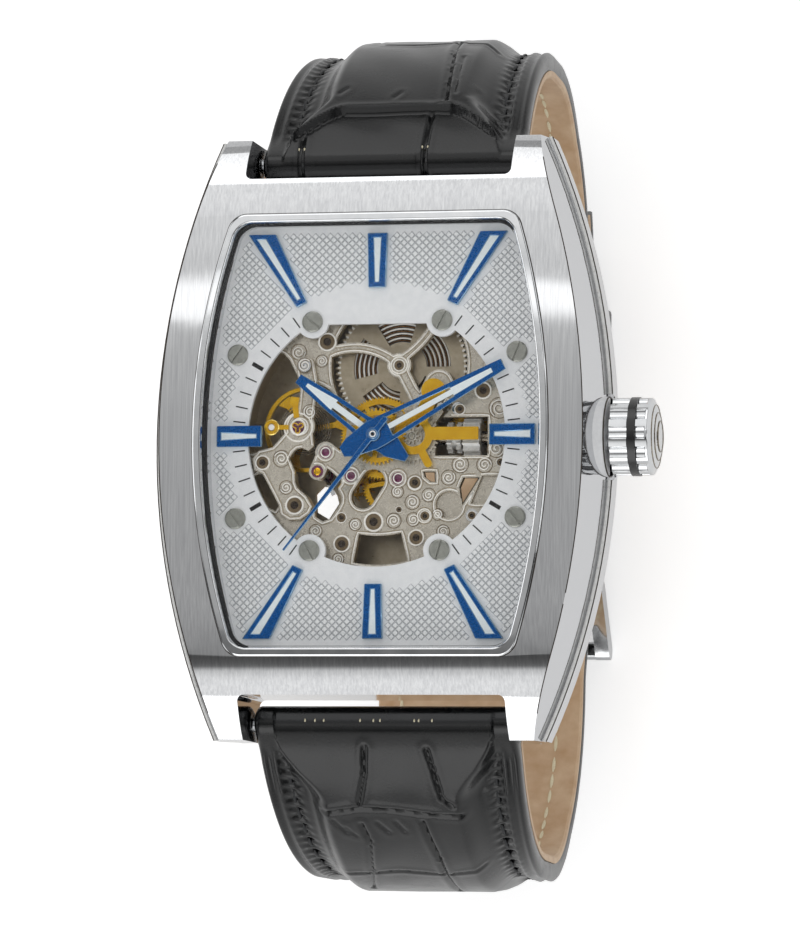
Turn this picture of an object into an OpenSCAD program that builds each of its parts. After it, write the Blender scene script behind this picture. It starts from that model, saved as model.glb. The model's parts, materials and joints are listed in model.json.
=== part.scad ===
// Tonneau skeleton watch with an automatic movement, on a buckled leather strap.
// The dial faces +Z, 12 o'clock is +Y, and 3 o'clock with the crown is +X.
// The origin lies on the axis of the hands, in the outer face of the case back.

/* [Case] */
// Gap between the lugs, which takes the strap
lug_gap = 24; // [23:0.5:25]
// How far the tips of the lugs reach past the bezel
lug_reach = 7.15; // [6.9:0.05:7.6]
// Width of the brushed top face at its middle
face_w = 38.3; // [38:0.1:39.5]
// Radius in plan of the case's bowed sides
side_r = 64; // [62:1:70]
// Height of the top face at its middle, over the case back
face_z = 10.8; // [10.7:0.1:11.4]
// Radius of the top face's arc from 12 to 6 o'clock
face_arc_r = 190; // [170:5:240]

/* [Bezel and crystal] */
// Width of the polished bezel
bezel_w = 31.9; // [31.7:0.1:32.3]
// Length of the bezel
bezel_h = 39.2; // [39:0.1:39.6]
// Width of the bezel's rim
bezel_rim = 0.75; // [0.6:0.05:0.85]
// How far the bezel stands over the top face
bezel_rise = 0.25; // [0.1:0.05:0.5]
// Thickness of the crystal
crystal_t = 0.9; // [0.8:0.05:1.1]

/* [Dial and hands] */
// Thickness of the dial plate
dial_t = 0.5; // [0.4:0.05:0.6]
// Radius of the dial's window on the movement
window_r = 11.6; // [11.3:0.1:11.8]
// Height of the applied hour markers
marker_t = 0.4; // [0.3:0.05:0.5]
// Length of the hour hand from its axis
hour_hand_l = 8.65; // [8:0.05:9.5]
// Length of the minute hand from its axis
minute_hand_l = 13.05; // [12:0.05:13.4]
// Length of the seconds hand from its axis
second_hand_l = 12.95; // [12:0.05:13.4]
// Clock angle of the hour hand at rest
hour_angle = 306; // [0:1:359]
// Clock angle of the minute hand at rest
minute_angle = 62; // [0:1:359]
// Clock angle of the seconds hand at rest
second_angle = 218; // [0:1:359]

/* [Crown] */
// Diameter of the crown
crown_d = 6.8; // [6.4:0.1:7.2]
// Length of the crown
crown_l = 4.1; // [3.9:0.1:4.5]
// Number of flutes round the crown
crown_flutes = 12; // [10:1:16]

/* [Strap] */
// Width of the strap at the buckle
buckle_strap_w = 20; // [19:0.5:21]
// Thickness of the strap at the buckle
strap_t = 2.4; // [2.2:0.1:2.6]
// Thickness of the padded strap at the lugs
strap_lug_t = 3.4; // [3.2:0.1:3.8]
// Depth of the strap's loop below the case back
loop_depth = 40.5; // [39:0.5:44]

/* [Hidden] */

// Rounding of circles: small parts, middle ones, and the large arcs of the case
fine = 48;
wide = 144;
arc_fine = 1440;
// Running clearance on a radius, and clearance between parts that are simply laid in
run = 0.05;
seat = 0.02;
// How far a round corner stands past the arc that it runs into, so that the two cross
blend = 0.002;
// How far a cut runs past a face
past = 1;

// Heights over the case back's outer face
back_t = 1.2;
glass_t = 0.8;
rotor_z = 1.45;
bridge_z = 2.15;
bridge_t = 0.4;
bridge_top = bridge_z + bridge_t;
fourth_z = 2.65;
ratchet_z = 2.9;
drum_z = 3.2;
escape_z = 3.5;
balance_z = 4.1;
third_z = 4.6;
spring_z = 4.95;
stem_z = 5.0;
barrel_teeth_z = 4.9;
drum_top = 5.3;
centre_z = 5.42;
plate_z = 5.8;
plate_t = 0.8;
plate_top = plate_z + plate_t;
motion_z = plate_top + run;
hour_wheel_z = 6.87;
cover_z = 7.12;
cover_t = 0.18;
dial_z = 7.4;
dial_top = dial_z + dial_t;
hour_hand_z = dial_top + 0.3;
minute_hand_z = dial_top + 0.65;
second_hand_z = dial_top + 1.0;
hand_t = 0.15;

// Case
face_half = face_w / 2;
arc_axis_z = face_z - face_arc_r;
lug_tip = bezel_h / 2 + lug_reach;
lug_inner = lug_tip - 3.85;
shoulder_y = bezel_h / 2;
shoulder_r = 12;
lug_floor = 0.3;
gap_corner_r = 0.6;
bezel_z = face_z - 1.35;
bezel_side_r = 62.5;
bezel_corner_r = 1.8;
crystal_z = bezel_z + 0.3;
cavity_half_w = bezel_w / 2 - 0.35;
cavity_half_h = bezel_h / 2 - 0.2;
opening_half_w = bezel_w / 2 - bezel_rim - 0.25;
opening_half_h = bezel_h / 2 - bezel_rim - 0.25;
back_half_w = cavity_half_w + 3.5;
back_half_h = cavity_half_h + 2;
back_screw = [cavity_half_w - 0.45, cavity_half_h - 1.4];
back_head_r = 1;
back_glass_r = 12.2;
gasket_half_w = cavity_half_w + 0.8;
gasket_half_h = cavity_half_h + 1.2;
gasket_w = 0.4;
spring_bar_y = lug_tip - 1.55;
spring_bar_z = 1.9;
spring_bar_r = 0.6;
spring_bar_end = 1.1;

// Crown
crown_x = face_half + 1.65;
crown_tube_r = 1.4;
crown_bore_r = crown_tube_r + 0.15;
crown_recess_r = crown_d / 2 + 0.4;
crown_groove = [1.65, 2.35];
crown_groove_d = 0.45;
stem_r = 0.6;
stem_inner_x = 5;
winding_pinion_x = [7.5, 9];
winding_pinion_r = 1.8;
sliding_pinion_x = [6, 7.25];
sliding_pinion_r = 1.45;

// Movement: the places of its arbors
movement_r = 12.95;
wall_t = 0.65;
pocket_d = 0.35;
barrel_at = [1.75, 6.35];
third_at = [1.76, -3.68];
escape_at = [-2.51, -3.41];
pallet_at = [-5.54, -3.01];
pad_jewel_at = [-4.81, -1.32];
balance_at = [-7.05, 0.95];
crown_wheel_at = [8.2, 2.6];
minute_wheel_at = [3.05, 0];
setting_wheel_at = [4.59, 3.07];
pivot_r = 0.15;
pivot_l = 0.46;
jewel_r = 0.55;
arbor_r = 0.25;
cannon_r = 0.58;
centre_arbor_r = 0.42;
hour_tube_r = 0.9;
arbor_holes = [third_at, escape_at, pallet_at];
plate_jewels = concat(arbor_holes, [pad_jewel_at]);

// Teeth of the wheels and leaves of the pinions
barrel_teeth = 72;
centre_leaves = 8;
centre_teeth = 80;
third_leaves = 10;
third_teeth = 75;
fourth_leaves = 10;
fourth_teeth = 80;
escape_leaves = 8;
escape_teeth = 15;
cannon_leaves = 12;
minute_teeth = 36;
minute_leaves = 10;
hour_teeth = 40;
setting_teeth = 18;
ratchet_teeth = 54;
crown_wheel_teeth = 28;

// Screws that show on the dial side of the movement
plate_screws = [
    [-5.0, 8.35], [9.3, 3.95], [7.15, 2.45], [-0.3, -7.45], [-3.2, -9.45], [3.7, -9.0],
    [8.5, -7.0]
];
cock_screws = [[-7.4, -6.0], [-10.4, -2.2], [-6.66, 6.35]];
plate_screw_r = 0.55;
plate_shank_r = 0.3;
dial_screw_r = 0.93;
dial_shank_r = 0.4;
dial_screws_inner = [for (a = [60, 120, 240, 300]) 11.71 * [cos(a), sin(a)]];
dial_screws_outer = [for (a = [30, 150, 210, 330]) 14.55 * [cos(a), sin(a)]];

// Strap loop, in the plane of Y and Z
upper_arc_r = 22.5;
upper_arc_z = -18;
lower_arc_z = -22.5;
lower_arc_r = loop_depth + lower_arc_z;
loop_half = 37.2;
lower_arc_y = loop_half - lower_arc_r;
upper_arc_y = loop_half - upper_arc_r;
lining_t = 0.7;
strap_roll_r = 1.6;
strap_half_w = lug_gap / 2 - 0.2;
layer_drop = strap_t + 0.05;
drop_end_y = -11.5;
buckle_y = -9.9;
tip_angle = 22;
keeper_gap = 0.3;
rest_z = -loop_depth - layer_drop - strap_t / 2 - 1.5;
keeper_fixed_y = [-6.4, -1.6];
keeper_free_y = [12.3, 17.9];
buckle_half_w = buckle_strap_w / 2 + 0.35;
buckle_arm_w = 1.4;
buckle_bar_r = 0.5;
buckle_far_y = -15.4;
buckle_far_r = 0.9;
tongue_w = 1.4;
tongue_t = 0.8;

// Plan shapes that several parts share

// Length of the vector from a to b
function gap(a, b) = norm(b - a);

// Direction from a to b in degrees
function heading(a, b) = atan2(b[1] - a[1], b[0] - a[0]);

// How far an arc of radius r falls back from its middle, at a distance along it
function bow(distance, r) = r - sqrt(r * r - distance * distance);

// Pitch radius of a wheel that shares a centre distance with a mate
function share(distance, teeth, mate) = distance * teeth / (teeth + mate);

// Angle of one tooth of the wheel that meshes with a given wheel in a given direction
function mesh_angle(direction, phase, teeth, mate) =
    direction + 180 + 180 / mate + (direction - phase) * teeth / mate;

// A barrel-shaped outline with bowed sides, straight ends and round corners
module tonneau(half_w, half_h, corner_r = bezel_corner_r, bow_r = bezel_side_r) {
    arc_x = bow_r - half_w;
    corner_y = half_h - corner_r;
    corner_x = sqrt(pow(bow_r - corner_r, 2) - pow(corner_y, 2)) - arc_x;
    tangent_y = corner_y * bow_r / (bow_r - corner_r);
    intersection() {
        translate([-arc_x, 0]) circle(bow_r, $fn = arc_fine);
        translate([arc_x, 0]) circle(bow_r, $fn = arc_fine);
        square([3 * half_w, 2 * tangent_y], center = true);
    }
    square([2 * corner_x, 2 * half_h], center = true);
    for (sx = [-1, 1], sy = [-1, 1])
        translate([sx * corner_x, sy * corner_y]) circle(corner_r + blend, $fn = fine);
}

// Everything below an arc that runs parallel to the top face, z high at the middle
module below_arc(z)
    translate([0, 0, arc_axis_z])
        rotate([0, 90, 0])
            cylinder(r = z - arc_axis_z, h = 80, center = true, $fn = arc_fine);

// A layer between two such arcs, cut to the outline that is passed in
module arc_layer(low, high) {
    difference() {
        intersection() {
            linear_extrude(high + past) children();
            below_arc(high);
        }
        below_arc(low);
    }
}

// A disc or a tube that stands on a plane
module disc(r, z, h, bore = 0) {
    translate([0, 0, z]) difference() {
        cylinder(r = r, h = h, $fn = fine);
        if (bore > 0) translate([0, 0, -past]) cylinder(r = bore, h = h + 2 * past, $fn = fine);
    }
}

// A cylinder along X
module rod(r, x0, x1, z = 0, fn = fine)
    translate([x0, 0, z]) rotate([0, 90, 0]) cylinder(r = r, h = x1 - x0, $fn = fn);

// A flat bar between two points, in plan
module bar(a, b, w)
    translate(a) rotate(heading(a, b)) translate([0, -w / 2]) square([gap(a, b), w]);

// The same with round ends
module link(a, b, w) {
    bar(a, b, w);
    translate(a) circle(w / 2 + blend, $fn = fine);
    translate(b) circle(w / 2 + blend, $fn = fine);
}

// Plan of a toothed wheel: each tooth has four corners, narrower at its tip
module teeth_plan(teeth, pitch_r, phase = 0) {
    size = 2 * pitch_r / teeth;
    root = pitch_r - 1.15 * size;
    tip = pitch_r + 0.9 * size;
    corner = [-0.29, -0.1, 0.1, 0.29];
    polygon([for (i = [0:teeth - 1], k = [0:3])
        let (r = (k == 0 || k == 3) ? root : tip, a = phase + (i + corner[k]) * 360 / teeth)
            [r * cos(a), r * sin(a)]]);
}

// A spoked wheel with teeth, and a bore for its arbor
module wheel(teeth, pitch_r, z, h, phase = 0, rim = 0.45, spokes = 4, hub = 0.8, bore = arbor_r) {
    size = 2 * pitch_r / teeth;
    inner = pitch_r - 1.15 * size - rim;
    translate([0, 0, z]) linear_extrude(h) {
        difference() {
            teeth_plan(teeth, pitch_r, phase);
            circle(inner, $fn = wide);
        }
        difference() {
            union() {
                circle(hub, $fn = fine);
                for (i = [0:spokes - 1]) rotate(i * 360 / spokes + 45)
                    translate([0, -0.2]) square([inner + rim / 2, 0.4]);
            }
            circle(bore, $fn = fine);
        }
    }
}

// A pinion: leaves on a tube
module pinion(leaves, pitch_r, z, h, phase = 0, bore = arbor_r)
    translate([0, 0, z]) linear_extrude(h) difference() {
        teeth_plan(leaves, pitch_r, phase);
        circle(bore, $fn = fine);
    }

// A turned arbor with a thin pivot at each end
module arbor(low, high, r = arbor_r) {
    disc(pivot_r, low, high - low);
    disc(r, low + pivot_l, high - low - 2 * pivot_l);
}

// Case

// Profile of the case from the side: top arc, lug shoulders and flat bottom
module case_profile() {
    lean = shoulder_y / face_arc_r;
    shoulder_at = [
        shoulder_y - shoulder_r * lean,
        arc_axis_z + (face_arc_r - shoulder_r) * sqrt(1 - lean * lean)
    ];
    difference() {
        union() {
            intersection() {
                translate([0, arc_axis_z]) circle(face_arc_r, $fn = arc_fine);
                translate([-shoulder_y, lug_floor]) square([2 * shoulder_y, face_z]);
            }
            for (s = [0, 1]) mirror([s, 0]) intersection() {
                translate(shoulder_at) circle(shoulder_r + blend, $fn = wide);
                translate([shoulder_y - past, lug_floor])
                    square([lug_tip - shoulder_y + past, face_z]);
            }
        }
        translate([-back_half_h - run, -past]) square([2 * (back_half_h + run), back_t + past]);
    }
}

// Section of the flank, turned about the far centre of a bowed side
module flank() {
    step_z = 5;
    rotate_extrude($fn = arc_fine) polygon([
        [0, 0], [side_r + 0.35, 0], [side_r + 0.35, back_t], [side_r + 1.6, 2.6],
        [side_r + 1.55, step_z], [side_r + 1.15, step_z], [side_r, 10.2],
        [side_r - 0.4, face_z + past], [0, face_z + past]
    ]);
}

// The gap between a pair of lugs, with small round corners
module lug_cut() {
    linear_extrude(face_z + past) for (s = [0, 1]) mirror([0, s]) {
        corner = [lug_gap / 2 - gap_corner_r, lug_inner + gap_corner_r];
        translate([-lug_gap / 2, corner[1]]) square([lug_gap, 8]);
        translate([-corner[0], lug_inner]) square([2 * corner[0], 8]);
        for (x = [-1, 1]) translate([x * corner[0], corner[1]]) circle(gap_corner_r, $fn = fine);
    }
}

module case_middle() color("silver") difference() {
    intersection() {
        rotate([90, 0, 90]) linear_extrude(60, center = true) case_profile();
        translate([face_half - side_r, 0, 0]) flank();
        translate([side_r - face_half, 0, 0]) flank();
    }
    translate([0, 0, -past]) lug_cut();
    linear_extrude(dial_top) tonneau(cavity_half_w, cavity_half_h);
    linear_extrude(face_z + past) tonneau(opening_half_w, opening_half_h);
    arc_layer(bezel_z, face_z + 2) tonneau(bezel_w / 2 + seat, bezel_h / 2 + seat);
    translate([0, 0, back_t - past]) linear_extrude(past + 0.4) gasket_plan();
    rod(crown_tube_r, 15, 24, stem_z);
    rod(crown_recess_r, crown_x - 0.4, 30, stem_z, wide);
    for (s = [-1, 1]) translate([0, s * spring_bar_y, 0])
        rod(spring_bar_r + seat, -lug_gap / 2 - spring_bar_end, lug_gap / 2 + spring_bar_end,
            spring_bar_z);
    for (x = [-1, 1], y = [-1, 1]) translate([x * back_screw[0], y * back_screw[1], 0])
        disc(plate_shank_r + 0.15, 0, 3.2);
}

module bezel_ring() color("gainsboro")
    arc_layer(bezel_z, face_z + bezel_rise) difference() {
        tonneau(bezel_w / 2, bezel_h / 2);
        tonneau(bezel_w / 2 - bezel_rim, bezel_h / 2 - bezel_rim);
    }

module crystal() color([0.9, 0.95, 1, 0.3])
    arc_layer(crystal_z, crystal_z + crystal_t)
        tonneau(bezel_w / 2 - bezel_rim - seat, bezel_h / 2 - bezel_rim - seat);

module crystal_gasket() color("black")
    arc_layer(bezel_z, crystal_z) difference() {
        tonneau(bezel_w / 2 - bezel_rim - seat, bezel_h / 2 - bezel_rim - seat);
        tonneau(opening_half_w, opening_half_h);
    }

module case_back() color("silver") difference() {
    linear_extrude(back_t) tonneau(back_half_w, back_half_h, 2.5);
    disc(back_glass_r, -past, glass_t + past);
    disc(back_glass_r - 0.6, 0, back_t + past);
    for (x = [-1, 1], y = [-1, 1]) translate([x * back_screw[0], y * back_screw[1], 0]) {
        disc(back_head_r, -past, 0.6 + past);
        disc(plate_shank_r + 0.15, 0, back_t + past);
    }
}

module case_back_glass() color([0.9, 0.95, 1, 0.3]) disc(back_glass_r, 0, glass_t);

module gasket_plan() difference() {
    tonneau(gasket_half_w, gasket_half_h);
    tonneau(gasket_half_w - gasket_w, gasket_half_h - gasket_w);
}

module case_back_gasket() color("black")
    translate([0, 0, back_t]) linear_extrude(0.4) gasket_plan();

module case_back_screws() color("silver")
    for (x = [-1, 1], y = [-1, 1]) translate([x * back_screw[0], y * back_screw[1], 0])
        difference() {
            union() {
                disc(back_head_r, 0.1, 0.5);
                disc(plate_shank_r + 0.15, 0.3, 2.8);
            }
            translate([-1.2, -0.12, 0]) cube([2.4, 0.24, 0.3]);
        }

// Crown and winding works

module crown_tube() color("silver") difference() {
    rod(crown_tube_r, cavity_half_w + 0.1, crown_x + 2, stem_z);
    rod(stem_r + 0.1, 14, 26, stem_z);
}

module crown() color("silver") {
    crown_r = crown_d / 2;
    flute_end = crown_l - 0.65;
    translate([crown_x, 0, stem_z]) rotate([0, 90, 0]) difference() {
        union() {
            cylinder(r = crown_r, h = flute_end, $fn = wide);
            translate([0, 0, flute_end]) cylinder(r1 = crown_r, r2 = crown_r * 0.82, h = 0.3, $fn = wide);
            translate([0, 0, flute_end + 0.3])
                cylinder(r1 = crown_r * 0.82, r2 = crown_r * 0.4, h = 0.35, $fn = wide);
        }
        for (i = [0:crown_flutes - 1]) rotate(i * 360 / crown_flutes)
            translate([crown_r + 0.3, 0, -past]) cylinder(r = 0.62, h = flute_end - 0.25 + past, $fn = 24);
        translate([0, 0, crown_groove[0]]) difference() {
            cylinder(r = crown_r + past, h = crown_groove[1] - crown_groove[0], $fn = wide);
            translate([0, 0, -past]) cylinder(r = crown_r - crown_groove_d, h = 4, $fn = wide);
        }
        translate([0, 0, -past]) cylinder(r = crown_bore_r, h = 3.4, $fn = fine);
        cylinder(r = stem_r, h = 3.2, $fn = fine);
    }
}

module crown_ring() color("black") difference() {
    rod(crown_d / 2 + 0.08, crown_x + crown_groove[0], crown_x + crown_groove[1], stem_z, wide);
    rod(crown_d / 2 - crown_groove_d, crown_x, crown_x + crown_l, stem_z, wide);
}

module winding_stem() color("dimgray") rod(stem_r, stem_inner_x, crown_x + 3.2, stem_z);

// A toothed drum along the stem
module stem_gear(r, x, leaves) difference() {
    translate([x[0], 0, stem_z]) rotate([0, 90, 0]) linear_extrude(x[1] - x[0])
        teeth_plan(leaves, r - 0.2);
    rod(stem_r + run, x[0] - past, x[1] + past, stem_z);
}

module winding_pinion() color("dimgray") stem_gear(winding_pinion_r, winding_pinion_x, 16);

module sliding_pinion() color("dimgray") difference() {
    stem_gear(sliding_pinion_r, sliding_pinion_x, 14);
    difference() {
        rod(2, 6.45, 6.85, stem_z);
        rod(1, 6, 7.3, stem_z);
    }
}

// Dial, hands and markers

module movement_holder() color("lightgray") difference() {
    translate([0, 0, back_t]) linear_extrude(dial_z - back_t)
        tonneau(cavity_half_w - 0.1, cavity_half_h - 0.1);
    disc(movement_r + run, 0, dial_z + past);
    disc(movement_r + 0.5, plate_z + 0.2, dial_z);
    rod(stem_r + 0.4, 10, 18, stem_z);
    for (p = dial_screws_outer) translate(p) disc(dial_shank_r, dial_z - past, 2);
}

// The window in the dial: a circle with a flat top and four tabs for screws
module window_plan() difference() {
    circle(window_r, $fn = wide);
    translate([-window_r, 9.9]) square([2 * window_r, window_r]);
    for (p = dial_screws_inner) translate(p) circle(1.45, $fn = fine);
}

module dial() color("whitesmoke") translate([0, 0, dial_z]) linear_extrude(dial_t) difference() {
    tonneau(cavity_half_w - 0.1, cavity_half_h - 0.1);
    window_plan();
    for (p = concat(dial_screws_inner, dial_screws_outer))
        translate(p) circle(dial_shank_r, $fn = fine);
}

module dial_screws() color("silver")
    for (p = concat(dial_screws_inner, dial_screws_outer)) translate(p) {
        disc(dial_screw_r, dial_top, 0.22);
        disc(dial_shank_r, dial_top - dial_t - 0.7, dial_t + 0.8);
    }

// Where the markers end towards the rim, and the outer corner of the slanted ones
marker_x = opening_half_w - 0.59;
marker_y = opening_half_h - 0.65;
slant_x = opening_half_w - 0.57 - bow(marker_y, bezel_side_r);

// Corners of the markers: those at 3 and 9, at 12 and 6, and the four slanted ones
side_marker = [[marker_x - 4.12, -0.93], [marker_x, -0.93], [marker_x, 0.93], [marker_x - 4.12, 0.93]];
end_marker = [[-0.78, marker_y - 4.85], [0.78, marker_y - 4.85], [0.92, marker_y], [-0.92, marker_y]];
slant_marker = [
    [slant_x - 5.43, marker_y - 6.1], [slant_x - 4.48, marker_y - 6.55],
    [slant_x, marker_y], [slant_x - 2.52, marker_y]
];
side_lume = [
    [marker_x - 3.61, -0.15], [marker_x - 0.46, -0.3], [marker_x - 0.46, 0.3], [marker_x - 3.61, 0.15]
];
end_lume = [[-0.15, marker_y - 4.35], [0.15, marker_y - 4.35], [0.3, marker_y - 0.45], [-0.3, marker_y - 0.45]];
slant_lume = [
    [slant_x - 4.8, marker_y - 5.75], [slant_x - 4.55, marker_y - 5.87],
    [slant_x - 0.85, marker_y - 0.45], [slant_x - 1.6, marker_y - 0.45]
];

module each_marker(side, end, slant) {
    for (s = [0, 1]) mirror([s, 0]) polygon(side);
    for (s = [0, 1]) mirror([0, s]) polygon(end);
    for (s = [0, 1], t = [0, 1]) mirror([s, 0]) mirror([0, t]) polygon(slant);
}

module hour_markers() color("royalblue") translate([0, 0, dial_top]) linear_extrude(marker_t)
    difference() {
        each_marker(side_marker, end_marker, slant_marker);
        each_marker(side_lume, end_lume, slant_lume);
    }

module marker_lume() color("aliceblue") translate([0, 0, dial_top]) linear_extrude(marker_t - 0.05)
    each_marker(side_lume, end_lume, slant_lume);

// Places a hand that is drawn pointing to 12 o'clock
module at_clock(angle, z) translate([0, 0, z]) rotate(-angle) linear_extrude(hand_t) children();

// Lume of a hand: a wide part near the tip, and a narrow strip down to the hub
module lume_plan(tip, step, base, tip_w, step_w, strip_w) polygon([
    [-tip_w / 2, tip], [-step_w / 2, step], [-strip_w / 2, step], [-strip_w / 2, base],
    [strip_w / 2, base], [strip_w / 2, step], [step_w / 2, step], [tip_w / 2, tip]
]);

// Right edges of the hands from tail to tip, and where the slot of each begins and ends
hour_edge = [
    [0.3, -3.62], [1, -1.9], [1, -1.2], [1.15, -0.5], [1.15, 0.8], [1, 1.4], [0.84, 4.55],
    [0.45, hour_hand_l]
];
hour_slot = [1.35, 4.55];
minute_edge = [
    [0.47, -3.25], [0.9, -2.4], [1.3, -0.3], [1.3, 0.7], [1, 5.2], [0.82, 7.9],
    [0.5, minute_hand_l]
];
minute_slot = [1.5, 7.9];
hand_bar_w = 0.38;

// Frame of a hand with a tapered tail, open between two bars along the strip of lume
module hand_plan(edge, slot, slot_half_w, bore) difference() {
    polygon(concat(edge, [for (i = [len(edge) - 1:-1:0]) [-edge[i][0], edge[i][1]]]));
    polygon([
        [-slot_half_w[1], slot[1]], [-slot_half_w[0], slot[0]], [slot_half_w[0], slot[0]],
        [slot_half_w[1], slot[1]]
    ]);
    circle(bore, $fn = fine);
}

module hour_hand_frame()
    hand_plan(hour_edge, hour_slot, [1 - hand_bar_w, 0.84 - hand_bar_w], hour_tube_r);
module hour_lume_plan() lume_plan(hour_hand_l - 1, hour_slot[1], hour_slot[0], 0.3, 1.05, 0.55);
module minute_hand_frame()
    hand_plan(minute_edge, minute_slot, [1.24 - hand_bar_w, 0.82 - hand_bar_w], cannon_r);
module minute_lume_plan()
    lume_plan(minute_hand_l - 1.15, minute_slot[1], minute_slot[0], 0.4, 0.72, 0.45);

module hour_hand() color("mediumblue") at_clock(hour_angle, hour_hand_z) difference() {
    hour_hand_frame();
    hour_lume_plan();
}

module hour_hand_lume() color("aliceblue") at_clock(hour_angle, hour_hand_z) hour_lume_plan();

module minute_hand() color("mediumblue") at_clock(minute_angle, minute_hand_z) difference() {
    minute_hand_frame();
    minute_lume_plan();
}

module minute_hand_lume() color("aliceblue")
    at_clock(minute_angle, minute_hand_z) minute_lume_plan();

module second_hand() color("mediumblue") {
    at_clock(second_angle, second_hand_z) difference() {
        union() {
            polygon([[-0.1, second_hand_l], [-0.26, 0], [0.26, 0], [0.1, second_hand_l]]);
            link([0, 0], [0, -1.65], 0.52);
            circle(0.6, $fn = fine);
        }
        circle(arbor_r, $fn = fine);
    }
    disc(0.4, second_hand_z + hand_t, 0.1, 0.12);
}

// Movement

// A window that follows a ring: between two radii and two angles about a point
module ring_window(at, inner, outer, from, to) translate(at) intersection() {
    difference() {
        circle(outer, $fn = wide);
        circle(inner, $fn = wide);
    }
    steps = 6;
    polygon(concat([[0, 0]], [for (i = [0:steps])
        let (a = from + (to - from) * i / steps) 1.2 * outer * [cos(a), sin(a)]]));
}

// Corners of the openings in the main plate that aren't round
balance_window = [
    [-12.6, 7.7], [-9.3, 7.7], [-8.7, 7.45], [-8.2, 6.95], [-7.65, 5.85], [-6.9, 4.6], [-6, 1],
    [-9.9, -1.2], [-10.5, -1.3], [-12.6, -1.3]
];
pallet_window = [
    [-7.95, -1.9], [-7.7, -1.4], [-7.3, -1.05], [-6.85, -0.97], [-6.25, -1.25], [-5, -2.2],
    [-3.95, -2.75], [-3.4, -3.5], [-3.35, -4.1], [-3.65, -4.55], [-3.3, -5.25], [-3.3, -5.75],
    [-3.55, -6.25], [-4.25, -7.2], [-5, -7.45], [-5.65, -7.05], [-5.8, -6.15], [-6.35, -5.25],
    [-7.2, -4.5], [-7.4, -4], [-7.45, -3.05]
];
lever_window = [[4.05, -3.1], [5.15, -3.1], [5.2, -4.05], [4.7, -4], [4.15, -3.55]];
slant_window = [[7.3, -4.5], [7.65, -3.65], [9.15, -3.65], [7.55, -6.2]];
left_window = [[-11.3, -3.45], [-10.9, -3.2], [-10.4, -3.25], [-8.9, -6], [-9.3, -6.5], [-10.3, -5.9]];
rim_pocket = [[9.35, -3.5], [10.9, -3.5], [9.9, -5.95], [8.35, -5.95]];

// Openings in the main plate that show the works
module plate_windows() {
    intersection() {
        union() {
            translate(barrel_at) circle(6.15, $fn = wide);
            polygon(balance_window);
        }
        circle(12, $fn = wide);
    }
    translate(balance_at) circle(4.15, $fn = wide);
    translate([5.1, -1.7]) square([4.7, 3.4]);
    link([-0.45, -3.9], [-1.35, -5.3], 2.1);
    polygon(pallet_window);
    polygon(lever_window);
    polygon(slant_window);
    polygon(left_window);
    ring_window([0, 0], 8.75, 11.3, -101, -76);
    for (p = [[3.3, -4.1], [4.2, -7]]) translate(p) circle(0.42, $fn = fine);
}

// Arms and pads that cross the windows: the barrel's bearing, the centre and the setting works
module plate_arms() {
    ring_window([-2.35, 2.12], 5.41, 6.31, 47, 115);
    ring_window([-2.85, 14.54], 8.62, 9.38, -60, -29);
    bar(barrel_at, barrel_at + 6.4 * [cos(62), -sin(62)], 1.15);
    translate(barrel_at) circle(1.1, $fn = fine);
    link(pad_jewel_at, [-2.6, -3.2], 1.9);
    link(pad_jewel_at, pallet_at, 1.5);
    circle(1.5, $fn = fine);
    bar([0, 0], [1.6, -2.4], 2.4);
    link(setting_wheel_at, [5.35, 4.65], 2.6);
    bar([3.4, 1.4], setting_wheel_at, 3);
    bar([5.35, 4.65], [8.4, 2.9], 1.8);
    for (p = dial_screws_inner) translate(p) circle(1.2, $fn = fine);
}

module main_plate() color("tan") difference() {
    union() {
        translate([0, 0, plate_z]) linear_extrude(plate_t) {
            difference() {
                circle(movement_r, $fn = wide);
                plate_windows();
            }
            intersection() {
                circle(movement_r, $fn = wide);
                plate_arms();
            }
        }
        disc(movement_r, bridge_top, plate_z - bridge_top, movement_r - wall_t);
        disc(movement_r + 0.45, plate_z + 0.2, plate_t - 0.2, movement_r - wall_t);
        for (p = dial_screws_inner) translate(p) disc(0.9, plate_z, dial_z - plate_z);
        translate(minute_wheel_at) disc(0.28, plate_z, 1.25);
        translate(setting_wheel_at) disc(0.28, plate_z, 1.25);
    }
    translate(barrel_at) disc(6.3, bridge_top, drum_top + 0.2 - bridge_top);
    translate([0, 0, plate_top - pocket_d]) linear_extrude(past) {
        polygon(rim_pocket);
        translate([6.4, -6.05]) circle(1.2, $fn = fine);
    }
    translate([0, 0, stem_z]) rod(stem_r + run, 10, 20);
    disc(centre_arbor_r + run, 0, dial_z);
    for (p = plate_jewels) translate(p) disc(jewel_r, 0, dial_z);
    translate(barrel_at) disc(0.5 + run, 0, dial_z);
    for (p = concat(plate_screws, cock_screws)) translate(p) disc(plate_shank_r, 0, dial_z);
    for (p = dial_screws_inner) translate(p) disc(dial_shank_r, dial_z - past, 2);
}

module barrel_drum() color("darkkhaki") {
    pitch_r = share(norm(barrel_at), barrel_teeth, centre_leaves);
    wall_r = 4.9;
    phase = mesh_angle(heading([0, 0], barrel_at), minute_phase, centre_leaves, barrel_teeth);
    translate(barrel_at) {
        difference() {
            disc(wall_r, drum_z, barrel_teeth_z - drum_z + 0.1, arbor_r + 0.4 + run);
            disc(wall_r - 0.35, drum_z + 0.25, drum_top);
        }
        translate([0, 0, barrel_teeth_z]) linear_extrude(drum_top - barrel_teeth_z) difference() {
            teeth_plan(barrel_teeth, pitch_r, phase);
            circle(0.5 + run, $fn = fine);
            for (a = [0:72:288]) ring_window([0, 0], 2.2, 4.4, a, a + 50);
        }
    }
}

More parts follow.
